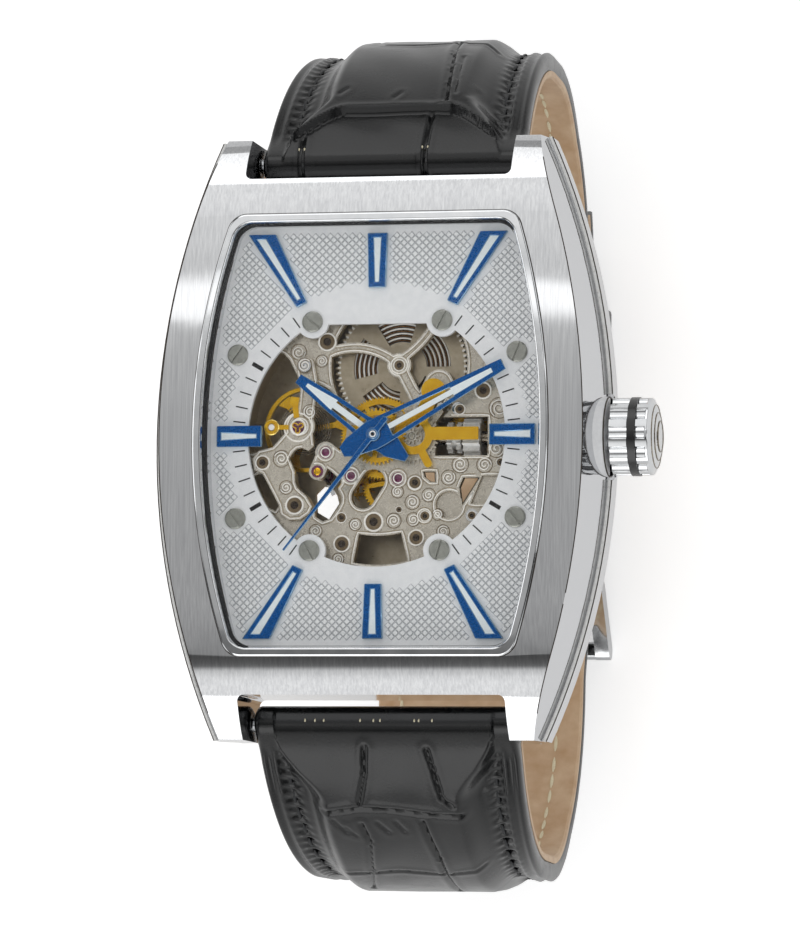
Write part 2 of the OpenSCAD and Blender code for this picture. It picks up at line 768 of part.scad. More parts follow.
// Plan of a flat spiral spring of even steps
module spiral_plan(inner, outer, strip, turns, steps_a_turn) {
    steps = turns * steps_a_turn;
    side = [for (s = [1, -1]) [for (i = [0:steps])
        let (r = inner + (outer - inner) * i / steps + s * strip / 2, a = i * 360 / steps_a_turn)
            [r * cos(a), r * sin(a)]]];
    polygon(concat(side[0], [for (i = [steps:-1:0]) side[1][i]]));
}

module mainspring() color("slategray") translate(barrel_at) translate([0, 0, drum_z + 0.4])
    linear_extrude(1.2) spiral_plan(1.2, 4.35, 0.16, 7, 24);

module barrel_arbor() color("silver") translate(barrel_at) {
    disc(0.5, bridge_z, plate_top - bridge_z);
    disc(1.05, drum_z + 0.35, 1.25);
}

module ratchet_wheel() color("khaki") {
    pitch_r = share(gap(barrel_at, crown_wheel_at), ratchet_teeth, crown_wheel_teeth);
    translate(barrel_at) wheel(ratchet_teeth, pitch_r, ratchet_z, 0.2, 0, 0.9, 5, 1.3, 0.5);
}

module crown_wheel() color("khaki") {
    pitch_r = share(gap(barrel_at, crown_wheel_at), crown_wheel_teeth, ratchet_teeth);
    phase = mesh_angle(heading(barrel_at, crown_wheel_at), 0, ratchet_teeth, crown_wheel_teeth);
    translate(crown_wheel_at)
        pinion(crown_wheel_teeth, pitch_r, ratchet_z, 0.25, phase, 0.4 + run);
}

// The centre pinion, the cannon pinion and the centre wheel turn together
minute_phase = 0;

module centre_wheel() color("gold") {
    pinion_r = share(norm(barrel_at), centre_leaves, barrel_teeth);
    wheel_r = share(norm(third_at), centre_teeth, third_leaves);
    pinion(centre_leaves, pinion_r, barrel_teeth_z, centre_z - barrel_teeth_z, minute_phase,
        arbor_r + run);
    wheel(centre_teeth, wheel_r, centre_z, 0.16, minute_phase, 0.5, 5, 1, arbor_r + run);
    disc(centre_arbor_r, centre_z, dial_top - centre_z, arbor_r + run);
}

module cannon_pinion() color("silver") {
    pitch_r = share(norm(minute_wheel_at), cannon_leaves, minute_teeth);
    pinion(cannon_leaves, pitch_r, motion_z, 0.18, minute_phase, centre_arbor_r);
    disc(cannon_r, motion_z, minute_hand_z + hand_t - motion_z, centre_arbor_r);
}

module hour_wheel() color("gold") {
    pitch_r = share(norm(minute_wheel_at), hour_teeth, minute_leaves);
    phase = mesh_angle(heading(minute_wheel_at, [0, 0]), 0, minute_leaves, hour_teeth);
    wheel(hour_teeth, pitch_r, hour_wheel_z, 0.18, phase, 0.4, 5, 1.1, cannon_r + run);
    disc(hour_tube_r, hour_wheel_z, hour_hand_z + hand_t - hour_wheel_z, cannon_r + run);
}

minute_wheel_phase =
    mesh_angle(heading([0, 0], minute_wheel_at), minute_phase, cannon_leaves, minute_teeth);

module minute_wheel() color("gold") {
    wheel_r = share(norm(minute_wheel_at), minute_teeth, cannon_leaves);
    pinion_r = share(norm(minute_wheel_at), minute_leaves, hour_teeth);
    translate(minute_wheel_at) {
        wheel(minute_teeth, wheel_r, motion_z, 0.15, minute_wheel_phase, 0.5, 4, 0.9, 0.28 + run);
        pinion(minute_leaves, pinion_r, motion_z + 0.15, 0.29, 0, 0.28 + run);
    }
}

module setting_wheel() color("silver") {
    wheel_r = share(norm(minute_wheel_at), minute_teeth, cannon_leaves);
    pitch_r = gap(minute_wheel_at, setting_wheel_at) - wheel_r;
    phase = mesh_angle(
        heading(minute_wheel_at, setting_wheel_at), minute_wheel_phase, minute_teeth, setting_teeth);
    translate(setting_wheel_at) pinion(setting_teeth, pitch_r, motion_z, 0.15, phase, 0.28 + run);
}

// The keyhole-shaped cover over the setting works, on two posts
module setting_cover() color("gold") {
    ring_at = minute_wheel_at + [0.2, 0.1];
    lobe_at = [5, 4];
    foot_at = [4.6, -2.45];
    post_at = [5.3, 4.62];
    post_r = 0.3;
    post_h = cover_z - plate_top;
    translate([0, 0, cover_z]) linear_extrude(cover_t) difference() {
        union() {
            translate(ring_at) circle(1.75, $fn = fine);
            bar(ring_at + [0, 0.1], [9.1, 0.2], 1.15);
            bar(ring_at, lobe_at, 1.3);
            translate(lobe_at) circle(1.08, $fn = fine);
            link(ring_at, foot_at, 0.7);
        }
        translate(ring_at) circle(1.05, $fn = fine);
    }
    for (p = [post_at, foot_at]) translate(p) disc(post_r, plate_top, post_h);
}

module third_wheel() color("gold") {
    pinion_r = share(norm(third_at), third_leaves, centre_teeth);
    wheel_r = share(norm(third_at), third_teeth, fourth_leaves);
    phase = mesh_angle(heading([0, 0], third_at), minute_phase, centre_teeth, third_leaves);
    translate(third_at) {
        wheel(third_teeth, wheel_r, third_z, 0.15, 0, 0.4, 5, 0.8);
        pinion(third_leaves, pinion_r, centre_z - 0.05, 0.3, phase);
        arbor(bridge_z, plate_top - 0.1);
    }
}

module fourth_wheel() color("gold") {
    pinion_r = share(norm(third_at), fourth_leaves, third_teeth);
    wheel_r = share(norm(escape_at), fourth_teeth, escape_leaves);
    phase = mesh_angle(heading(third_at, [0, 0]), 0, third_teeth, fourth_leaves);
    wheel(fourth_teeth, wheel_r, fourth_z, 0.14, 0, 0.4, 4, 0.8);
    pinion(fourth_leaves, pinion_r, third_z - 0.08, 0.3, phase);
    disc(arbor_r, bridge_top + run, second_hand_z + hand_t - bridge_top - run);
    disc(pivot_r, bridge_z, 0.6);
}

module escape_wheel() color("gold") {
    pinion_r = share(norm(escape_at), escape_leaves, fourth_teeth);
    phase = mesh_angle(heading([0, 0], escape_at), 0, fourth_teeth, escape_leaves);
    rim_r = 1.55;
    tip_r = 2.05;
    translate(escape_at) {
        translate([0, 0, escape_z]) linear_extrude(0.14) {
            difference() {
                polygon([for (i = [0:escape_teeth - 1], k = [0:2])
                    let (r = k == 1 ? tip_r : rim_r, a = (i + [0, 0.45, 0.35][k]) * 360 / escape_teeth)
                        [r * cos(a), r * sin(a)]]);
                circle(1.25, $fn = fine);
            }
            difference() {
                union() {
                    circle(0.5, $fn = fine);
                    for (a = [0:90:270]) rotate(a) translate([0, -0.12]) square([1.4, 0.24]);
                }
                circle(arbor_r, $fn = fine);
            }
        }
        pinion(escape_leaves, pinion_r, fourth_z - 0.05, 0.25, phase);
        arbor(bridge_z, plate_top - 0.1);
    }
}

// The lever: two arms with jewel pads toward the escape wheel, and a fork to the balance
module pallet_fork() color("silver") {
    to_wheel = heading(pallet_at, escape_at);
    to_balance = heading(pallet_at, balance_at);
    reach = gap(pallet_at, balance_at);
    translate(pallet_at) {
        translate([0, 0, escape_z]) linear_extrude(0.16) difference() {
            union() {
                circle(0.5, $fn = fine);
                for (s = [-1, 1]) bar([0, 0], 2.0 * [cos(to_wheel + s * 58), sin(to_wheel + s * 58)], 0.35);
                rotate(to_balance) translate([0, -0.15]) square([reach - 0.75, 0.3]);
                for (s = [-1, 1]) rotate(to_balance) bar([reach - 1.4, 0], [reach - 0.55, s * 0.3], 0.18);
            }
            circle(arbor_r, $fn = fine);
        }
        arbor(bridge_z, plate_top - 0.1);
    }
}

module balance_wheel() color("gold") translate(balance_at) {
    rim_r = 3.85;
    rim_w = 0.42;
    disc(rim_r, balance_z, 0.5, rim_r - rim_w);
    translate([0, 0, balance_z + 0.15]) linear_extrude(0.2) difference() {
        union() {
            for (a = [9, 129, 249]) rotate(a) polygon([
                [0, -0.25], [2.6, -0.28], [rim_r - rim_w / 2, -0.9], [rim_r - rim_w / 2, 0.9],
                [2.6, 0.28], [0, 0.25]
            ]);
            circle(0.8, $fn = fine);
        }
        circle(arbor_r, $fn = fine);
    }
}

// Staff with its roller and impulse pin
module balance_staff() color("silver") translate(balance_at) {
    disc(pivot_r, bridge_z + 0.05, plate_top + 0.35 - bridge_z);
    disc(arbor_r, bridge_top + 0.1, plate_z + 0.4 - bridge_top);
    disc(0.5, escape_z + 0.2, 0.2);
    rotate(heading(balance_at, pallet_at)) translate([0.42, 0, escape_z]) cylinder(r = 0.07, h = 0.3, $fn = 24);
}

module hairspring() color("steelblue") translate(balance_at) translate([0, 0, spring_z])
    linear_extrude(0.18) spiral_plan(0.5, 2.4, 0.07, 9, 20);

// Corners of the cock's wide foot, which follows the pallet window on its right
cock_foot = [
    [-8.2, 0.6], [-9.5, -0.85], [-10.8, -1.15], [-11.35, -1.9], [-11.2, -2.9], [-10.4, -3.25],
    [-8.9, -6], [-8.7, -6.9], [-7.9, -7.4], [-6.9, -7.35], [-6.1, -6.8], [-5.8, -6.15],
    [-6.35, -5.25], [-7.2, -4.5], [-7.4, -4], [-7.45, -3.05], [-7.95, -1.9], [-7.7, -1.4],
    [-7.3, -1.05], [-6.85, -0.97], [-6.25, -1.25], [-5.75, -0.8], [-5.9, 0.6]
];
cock_t = 0.5;

// The cock over the balance, screwed down on the main plate at both ends
module balance_cock() color("tan") difference() {
    translate([0, 0, plate_top]) linear_extrude(cock_t) {
        translate(balance_at) circle(1.35, $fn = fine);
        polygon(cock_foot);
        link(balance_at + [0.5, 0.8], [-6.3, 4.5], 1.5);
        link([-6.3, 4.5], cock_screws[2], 1.7);
    }
    translate(balance_at) disc(jewel_r, 0, dial_z);
    for (p = cock_screws) translate(p) disc(plate_shank_r, 0, dial_z);
}

module bridge_plan(side) intersection() {
    circle(movement_r, $fn = wide);
    translate([-20, side > 0 ? 1.7 : -21.6]) square([40, side > 0 ? 20 : 23.2]);
}

// Openings in the train bridge, below those of the plate as they are seen from the front
module bridge_windows() translate([-0.95, 0.45]) {
    translate([0.1, 0.1]) polygon(slant_window);
    polygon([
        [-5.6, -5.1], [-4.9, -4.4], [-4.1, -4.55], [-3.65, -5.3], [-3.5, -5.95], [-4.4, -7.35],
        [-5.5, -6.7]
    ]);
    polygon(lever_window);
}

module train_bridge() color("tan") difference() {
    translate([0, 0, bridge_z]) linear_extrude(bridge_t) difference() {
        bridge_plan(-1);
        bridge_windows();
    }
    for (p = concat([[0, 0], balance_at], arbor_holes)) translate(p) disc(jewel_r, 0, dial_z);
}

module barrel_bridge() color("tan") difference() {
    union() {
        translate([0, 0, bridge_z]) linear_extrude(bridge_t) bridge_plan(1);
        translate(crown_wheel_at) disc(0.4, bridge_z, ratchet_z + 0.3 - bridge_z);
    }
    translate(barrel_at) disc(0.5 + run, 0, dial_z);
}

module jewels() color("mediumvioletred") {
    for (p = plate_jewels) translate(p) disc(jewel_r, plate_top - 0.4, 0.4, pivot_r + 0.02);
    for (p = concat([[0, 0], balance_at], arbor_holes))
        translate(p) disc(jewel_r, bridge_z, bridge_t, pivot_r + 0.02);
    translate(balance_at) disc(jewel_r, plate_top + 0.1, 0.4, pivot_r + 0.02);
}

// A slotted screw with the underside of its head at height top
module plate_screw(at, top) translate(at) difference() {
    union() {
        disc(plate_screw_r, top, 0.22);
        disc(plate_shank_r, plate_z + 0.1, top - plate_z);
    }
    translate([-1, -0.06, top + 0.12]) cube([2, 0.12, 0.4]);
}

module movement_screws() color("silver") {
    for (p = plate_screws) plate_screw(p, plate_top);
    for (p = cock_screws) plate_screw(p, plate_top + cock_t);
}

module rotor_weight() color("lightgray") difference() {
    union() {
        intersection() {
            union() {
                disc(12.6, rotor_z + 0.1, 0.2);
                disc(12.6, rotor_z, 0.6, 10.95);
            }
            translate([-15, 0, 0]) cube([30, 15, 5]);
        }
        disc(2.6, rotor_z + 0.1, 0.3);
    }
    disc(1.55 + run, 0, 5);
}

module rotor_bearing() color("silver") disc(1.55, rotor_z, bridge_z - rotor_z);

// Strap. Each point of the loop is [y, z, outward y, outward z, thickness].

function arc_points(at, r, from, to, steps, t0, t1) = [for (i = [0:steps])
    let (a = from + (to - from) * i / steps, t = t0 + (t1 - t0) * i / steps)
        [at[0] + r * cos(a), at[1] + r * sin(a), cos(a), sin(a), t]];

// From the spring bar round the wrist to the flat stretch behind it
bar_angle = acos((spring_bar_y - upper_arc_y) / upper_arc_r);
side_path = concat(
    arc_points([upper_arc_y, upper_arc_z], upper_arc_r, bar_angle, 0, 14, strap_lug_t, 2.8),
    arc_points([lower_arc_y, lower_arc_z], lower_arc_r, 0, -90, 18, 2.6, strap_t)
);

function mirrored(path) = [for (p = path) [-p[0], p[1], -p[2], p[3], p[4]]];
function smooth(u) = u * u * (3 - 2 * u);

upper_path = concat(side_path, [[buckle_y, -loop_depth, 0, -1, strap_t]]);
lower_path = concat(
    mirrored(side_path),
    [for (i = [1:6]) let (u = i / 6)
        [-lower_arc_y + (drop_end_y + lower_arc_y) * u, -loop_depth - layer_drop * smooth(u), 0, -1,
            strap_t]],
    [for (p = arc_points([lower_arc_y, lower_arc_z], lower_arc_r + layer_drop, -90, tip_angle - 90, 5,
        strap_t, strap_t)) p]
);

// A ribbon along the loop, from one depth in the strap to another, measured from its inner face
function ribbon(path, low, high) = concat(
    [for (p = path) [p[0] + p[2] * (low - p[4] / 2), p[1] + p[3] * (low - p[4] / 2)]],
    [for (i = [len(path) - 1:-1:0]) let (p = path[i], h = high < 0 ? p[4] : high)
        [p[0] + p[2] * (h - p[4] / 2), p[1] + p[3] * (h - p[4] / 2)]]
);

// Cuts a ribbon to the strap's width, which narrows down to the buckle
module strap_body(path, low, high, skip = 0) intersection() {
    rotate([90, 0, 90]) linear_extrude(40, center = true)
        polygon(ribbon([for (i = [skip:len(path) - 1]) path[i]], low, high));
    rotate([90, 0, 0]) linear_extrude(100, center = true) polygon([
        [-strap_half_w, 6], [-strap_half_w, 0], [-buckle_strap_w / 2, -34], [-buckle_strap_w / 2, -60],
        [buckle_strap_w / 2, -60], [buckle_strap_w / 2, -34], [strap_half_w, 0], [strap_half_w, 6]
    ]);
}

// The strap's rolled end round a spring bar, and the bore for the bar
module strap_roll(side) translate([0, side * spring_bar_y, 0])
    rod(strap_roll_r, -strap_half_w, strap_half_w, spring_bar_z);
module strap_bore(side) translate([0, side * spring_bar_y, 0])
    rod(spring_bar_r + run, -20, 20, spring_bar_z);

module strap_upper() color([0.1, 0.1, 0.1]) difference() {
    union() {
        strap_body(upper_path, lining_t, -1);
        strap_roll(1);
        translate([0, buckle_y, 0])
            rod(strap_t / 2, -buckle_strap_w / 2, buckle_strap_w / 2, -loop_depth);
    }
    strap_bore(1);
    translate([0, buckle_y, 0]) rod(buckle_bar_r + run, -20, 20, -loop_depth);
    translate([-tongue_w / 2 - 0.3, buckle_y - 2, -loop_depth - 2]) cube([tongue_w + 0.6, 4.2, 4]);
}

module strap_upper_lining() color("burlywood") difference() {
    strap_body(upper_path, 0, lining_t, 2);
    translate([0, buckle_y, 0]) rod(strap_t / 2, -20, 20, -loop_depth);
    translate([-tongue_w / 2 - 0.3, buckle_y - 2, -loop_depth - 2]) cube([tongue_w + 0.6, 4.2, 4]);
}

// The holes for the tongue: the one in use is a slot at the buckle's bar
module strap_holes() {
    hole_r = 1.1;
    translate([-tongue_w / 2 - 0.3, buckle_y - 1.1, -60]) cube([tongue_w + 0.6, 3.4, 30]);
    for (y = [3.5, 10, 22]) translate([0, y, -60]) cylinder(r = hole_r, h = 25, $fn = fine);
}

module strap_lower() color([0.1, 0.1, 0.1]) difference() {
    union() {
        strap_body(lower_path, lining_t, -1);
        strap_roll(-1);
    }
    strap_bore(-1);
    strap_holes();
}

module strap_lower_lining() color("burlywood") difference() {
    strap_body(lower_path, 0, lining_t, 2);
    strap_holes();
}

module spring_bars() color("silver") for (s = [-1, 1]) translate([0, s * spring_bar_y, 0])
    rod(spring_bar_r, -lug_gap / 2 - 1, lug_gap / 2 + 1, spring_bar_z);

// Buckle

module buckle_frame() color("silver") {
    far = [buckle_far_y, rest_z + buckle_far_r];
    outer = buckle_half_w + buckle_arm_w;
    difference() {
        union() {
            for (x = [-outer, buckle_half_w]) translate([x, 0, 0]) rotate([90, 0, 90])
                linear_extrude(buckle_arm_w) link([buckle_y, -loop_depth], far, 2 * buckle_far_r);
            translate([0, far[0], 0]) rod(buckle_far_r - 0.05, 0.5 - outer, outer - 0.5, far[1]);
        }
        translate([0, buckle_y, 0]) rod(buckle_bar_r, -20, 20, -loop_depth);
        translate([-tongue_w / 2 - 0.2, far[0] - 2, rest_z - past])
            cube([tongue_w + 0.4, 4, tongue_t + 0.15 + past]);
    }
}

module buckle_tongue() color("silver") difference() {
    low = rest_z + 0.1 + tongue_t / 2;
    translate([-tongue_w / 2, 0, 0]) rotate([90, 0, 90]) linear_extrude(tongue_w) {
        translate([buckle_y, -loop_depth]) circle(1, $fn = fine);
        link([buckle_y, -loop_depth], [buckle_y, low], tongue_t);
        link([buckle_y, low], [buckle_far_y - 0.9, low], tongue_t);
    }
    translate([0, buckle_y, 0]) rod(buckle_bar_r + run, -20, 20, -loop_depth);
}

module buckle_bar() color("silver") translate([0, buckle_y, 0])
    rod(buckle_bar_r, -buckle_half_w - buckle_arm_w, buckle_half_w + buckle_arm_w, -loop_depth);

// A leather band round both layers of the strap
module keeper(y, clear) {
    inner = [buckle_strap_w / 2 + clear, -loop_depth + strap_t / 2 + clear];
    low = -loop_depth - layer_drop - strap_t / 2 - clear;
    wall = 1.1;
    translate([0, y[1], 0]) rotate([90, 0, 0]) linear_extrude(y[1] - y[0]) difference() {
        translate([-inner[0] - wall, rest_z]) square([2 * (inner[0] + wall), inner[1] + wall - rest_z]);
        translate([-inner[0], low]) square([2 * inner[0], inner[1] - low]);
    }
}

module keeper_fixed() color([0.1, 0.1, 0.1]) keeper(keeper_fixed_y, 0.02);

module keeper_free() color([0.1, 0.1, 0.1]) keeper(keeper_free_y, keeper_gap);

case_middle();
bezel_ring();
crystal();
crystal_gasket();
case_back();
case_back_glass();
case_back_gasket();
case_back_screws();
crown_tube();
crown();
crown_ring();
winding_stem();
winding_pinion();
sliding_pinion();
movement_holder();
dial();
dial_screws();
hour_markers();
marker_lume();
hour_hand();
hour_hand_lume();
minute_hand();
minute_hand_lume();
second_hand();
main_plate();
barrel_drum();
mainspring();
barrel_arbor();
ratchet_wheel();
crown_wheel();
centre_wheel();
cannon_pinion();
hour_wheel();
minute_wheel();
setting_wheel();
setting_cover();
third_wheel();
fourth_wheel();
escape_wheel();
pallet_fork();
balance_wheel();
balance_staff();
hairspring();
balance_cock();
train_bridge();
barrel_bridge();
jewels();
movement_screws();
rotor_weight();
rotor_bearing();
strap_upper();
strap_upper_lining();
strap_lower();
strap_lower_lining();
spring_bars();
buckle_frame();
buckle_tongue();
buckle_bar();
keeper_fixed();
keeper_free();
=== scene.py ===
"""Looks of a tonneau skeleton watch on a padded leather strap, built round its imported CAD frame.

Sizes are in millimetres in the frame's own axes: the dial faces +Z, 12 o'clock is +Y, the crown is at +X.
"""

from __future__ import annotations

import json
import logging
import math
import random
from dataclasses import dataclass, field
from enum import Enum
from typing import Callable, Iterable, Sequence

import bmesh
import bpy
import numpy as np
from mathutils import Matrix, Vector
from mathutils.bvhtree import BVHTree
from mathutils.kdtree import KDTree

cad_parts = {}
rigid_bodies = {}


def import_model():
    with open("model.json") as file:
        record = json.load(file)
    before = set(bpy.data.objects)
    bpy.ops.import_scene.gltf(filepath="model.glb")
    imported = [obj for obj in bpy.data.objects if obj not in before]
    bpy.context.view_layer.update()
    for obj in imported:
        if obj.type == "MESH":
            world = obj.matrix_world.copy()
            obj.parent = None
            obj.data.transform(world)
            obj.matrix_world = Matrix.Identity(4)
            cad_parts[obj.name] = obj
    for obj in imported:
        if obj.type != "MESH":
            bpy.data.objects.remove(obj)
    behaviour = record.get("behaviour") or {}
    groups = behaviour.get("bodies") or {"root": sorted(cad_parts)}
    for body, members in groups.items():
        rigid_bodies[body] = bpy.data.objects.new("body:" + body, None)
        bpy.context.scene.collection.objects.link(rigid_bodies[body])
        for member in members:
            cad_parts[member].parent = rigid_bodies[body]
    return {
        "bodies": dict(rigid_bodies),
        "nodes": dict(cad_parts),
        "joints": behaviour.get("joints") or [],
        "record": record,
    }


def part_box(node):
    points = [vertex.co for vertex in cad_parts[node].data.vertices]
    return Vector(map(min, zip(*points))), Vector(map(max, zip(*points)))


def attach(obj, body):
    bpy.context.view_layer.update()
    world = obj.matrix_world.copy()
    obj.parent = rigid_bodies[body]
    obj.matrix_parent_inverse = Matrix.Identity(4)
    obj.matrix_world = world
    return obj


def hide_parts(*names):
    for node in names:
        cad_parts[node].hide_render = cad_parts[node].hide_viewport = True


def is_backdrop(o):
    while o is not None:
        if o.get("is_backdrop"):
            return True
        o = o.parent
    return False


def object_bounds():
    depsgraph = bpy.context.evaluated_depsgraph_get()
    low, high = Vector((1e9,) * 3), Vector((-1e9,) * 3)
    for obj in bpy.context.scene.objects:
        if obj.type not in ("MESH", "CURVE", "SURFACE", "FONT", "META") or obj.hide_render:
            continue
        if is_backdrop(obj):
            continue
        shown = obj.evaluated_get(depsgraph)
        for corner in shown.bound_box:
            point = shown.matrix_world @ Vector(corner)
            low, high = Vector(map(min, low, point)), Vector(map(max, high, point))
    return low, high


LOG = logging.getLogger("watch")
MM = 0.001
PHOTO_W, PHOTO_H = 800, 938

Point = tuple[float, float]
Point3 = tuple[float, float, float]
Colour = tuple[float, float, float, float]
Shape = tuple[list[Point3], list[list[int]]]
Inputs = dict[str | int, object]
Rounding = tuple[str, float, int, float]

WHITE: Colour = (1.0, 1.0, 1.0, 1.0)


def srgb(code: str) -> Colour:
    """Turns a screen colour such as "8a8a80" into linear light.

    Args:
        code: Six hexadecimal digits, red first.

    Returns:
        Linear red, green, blue, and an alpha of 1.
    """
    values = [int(code[i : i + 2], 16) / 255 for i in (0, 2, 4)]
    linear = [v / 12.92 if v <= 0.04045 else ((v + 0.055) / 1.055) ** 2.4 for v in values]
    return (linear[0], linear[1], linear[2], 1.0)


def polar(radius: float, degrees: float) -> Point:
    """A point at a radius and an angle about the origin."""
    return radius * math.cos(math.radians(degrees)), radius * math.sin(math.radians(degrees))


def circle(radius: float, steps: int, centre: Point = (0.0, 0.0), closed: bool = False) -> list[Point]:
    """Points evenly round a centre.

    Args:
        radius: The circle's radius.
        steps: How many points there are.
        centre: The circle's centre.
        closed: Whether the first point comes again at the end.

    Returns:
        The points in order.
    """
    angles = [2 * math.pi * s / steps for s in range(steps + closed)]
    return [(centre[0] + radius * math.cos(a), centre[1] + radius * math.sin(a)) for a in angles]


def smooth_step(value: np.ndarray | float, low: float, high: float) -> np.ndarray | float:
    """Rises from 0 at low to 1 at high with no corner at either end."""
    share = np.clip((value - low) / (high - low), 0.0, 1.0)
    return share * share * (3 - 2 * share)


def hump(value: np.ndarray, middle: float, width: float) -> np.ndarray:
    """A smooth hump of height 1 about a middle."""
    return np.exp(-(((value - middle) / width) ** 2))


class Net:
    """A node tree, with short ways to add nodes and to set or link their inputs."""

    def __init__(self, tree: bpy.types.NodeTree) -> None:
        """Works on that tree."""
        self.tree = tree

    def feed(self, node: bpy.types.Node, inputs: Inputs) -> None:
        """Sets or links a node's inputs.

        Args:
            node: The node.
            inputs: A value, or a socket to link, for each input by its name or number.
        """
        for key, value in inputs.items():
            if isinstance(value, bpy.types.NodeSocket):
                self.tree.links.new(value, node.inputs[key])
            else:
                node.inputs[key].default_value = value

    def add(self, kind: str, inputs: Inputs | None = None, **settings: object) -> bpy.types.Node:
        """Adds a node.

        Args:
            kind: The node's type.
            inputs: What its inputs get, as in feed.
            settings: The node's own properties.

        Returns:
            The node.
        """
        node = self.tree.nodes.new(kind)
        for key, value in settings.items():
            setattr(node, key, value)
        self.feed(node, inputs or {})
        return node

    def math(self, operation: str, first: object, second: object = 0.0) -> bpy.types.NodeSocket:
        """A number worked out from one or two others."""
        return self.add("ShaderNodeMath", {0: first, 1: second}, operation=operation).outputs["Value"]

    def blend(self, mask: bpy.types.NodeSocket, low: object, high: object) -> bpy.types.NodeSocket:
        """A colour between two, by a mask."""
        inputs = {"Factor": mask, "A": low, "B": high}
        return self.add("ShaderNodeMix", inputs, data_type="RGBA").outputs["Result"]


class Shader(Net):
    """A material with a Principled BSDF."""

    def __init__(self, name: str) -> None:
        """Starts an empty material.

        Args:
            name: The material's name.
        """
        self.material = bpy.data.materials.new(name)
        self.material.use_nodes = True
        super().__init__(self.material.node_tree)
        self.tree.nodes.clear()
        self.surface = self.add("ShaderNodeBsdfPrincipled")
        self.output = self.add("ShaderNodeOutputMaterial", {"Surface": self.surface.outputs["BSDF"]})
        self.place = self.add("ShaderNodeTexCoord").outputs["Object"]

    def span(self, mask: bpy.types.NodeSocket, low: float, high: float) -> bpy.types.NodeSocket:
        """A number between two, by a mask."""
        inputs = {"Value": mask, "To Min": low, "To Max": high}
        return self.add("ShaderNodeMapRange", inputs).outputs["Result"]

    def rise(self, vector: bpy.types.NodeSocket, low: float, high: float) -> bpy.types.NodeSocket:
        """A mask that goes from 0 to 1 with a vector's Z.

        Args:
            vector: The socket that gives the vector.
            low: The Z where the mask starts to rise.
            high: The Z where it is full.

        Returns:
            The mask's socket.
        """
        split = self.add("ShaderNodeSeparateXYZ", {"Vector": vector})
        ends = {"Value": split.outputs["Z"], "From Min": low, "From Max": high}
        return self.add("ShaderNodeMapRange", ends, clamp=True).outputs["Result"]

    def swap(self, name: str, mask: bpy.types.NodeSocket, instead: object, kind: str = "RGBA") -> None:
        """Gives one of the surface's inputs something else where a mask is 0.

        Args:
            name: The input, which is linked already.
            mask: Where it keeps what it has.
            instead: The colour or number that it gets elsewhere.
            kind: RGBA for a colour, FLOAT for a number.
        """
        kept = self.surface.inputs[name].links[0].from_socket
        mix = self.add("ShaderNodeMix", {"Factor": mask, "A": instead, "B": kept}, data_type=kind)
        self.feed(self.surface, {name: mix.outputs["Result"]})

    def relief(self, height: bpy.types.NodeSocket, depth_mm: float, strength: float) -> None:
        """Feeds a height to the surface's normal."""
        bump = self.add("ShaderNodeBump", {"Height": height, "Distance": depth_mm * MM, "Strength": strength})
        self.feed(self.surface, {"Normal": bump.outputs["Normal"]})


class Pattern(Enum):
    """The fine structure that a finish shows."""

    CLOUD = "cloud"
    STREAK = "streak"
    GRAIN = "grain"


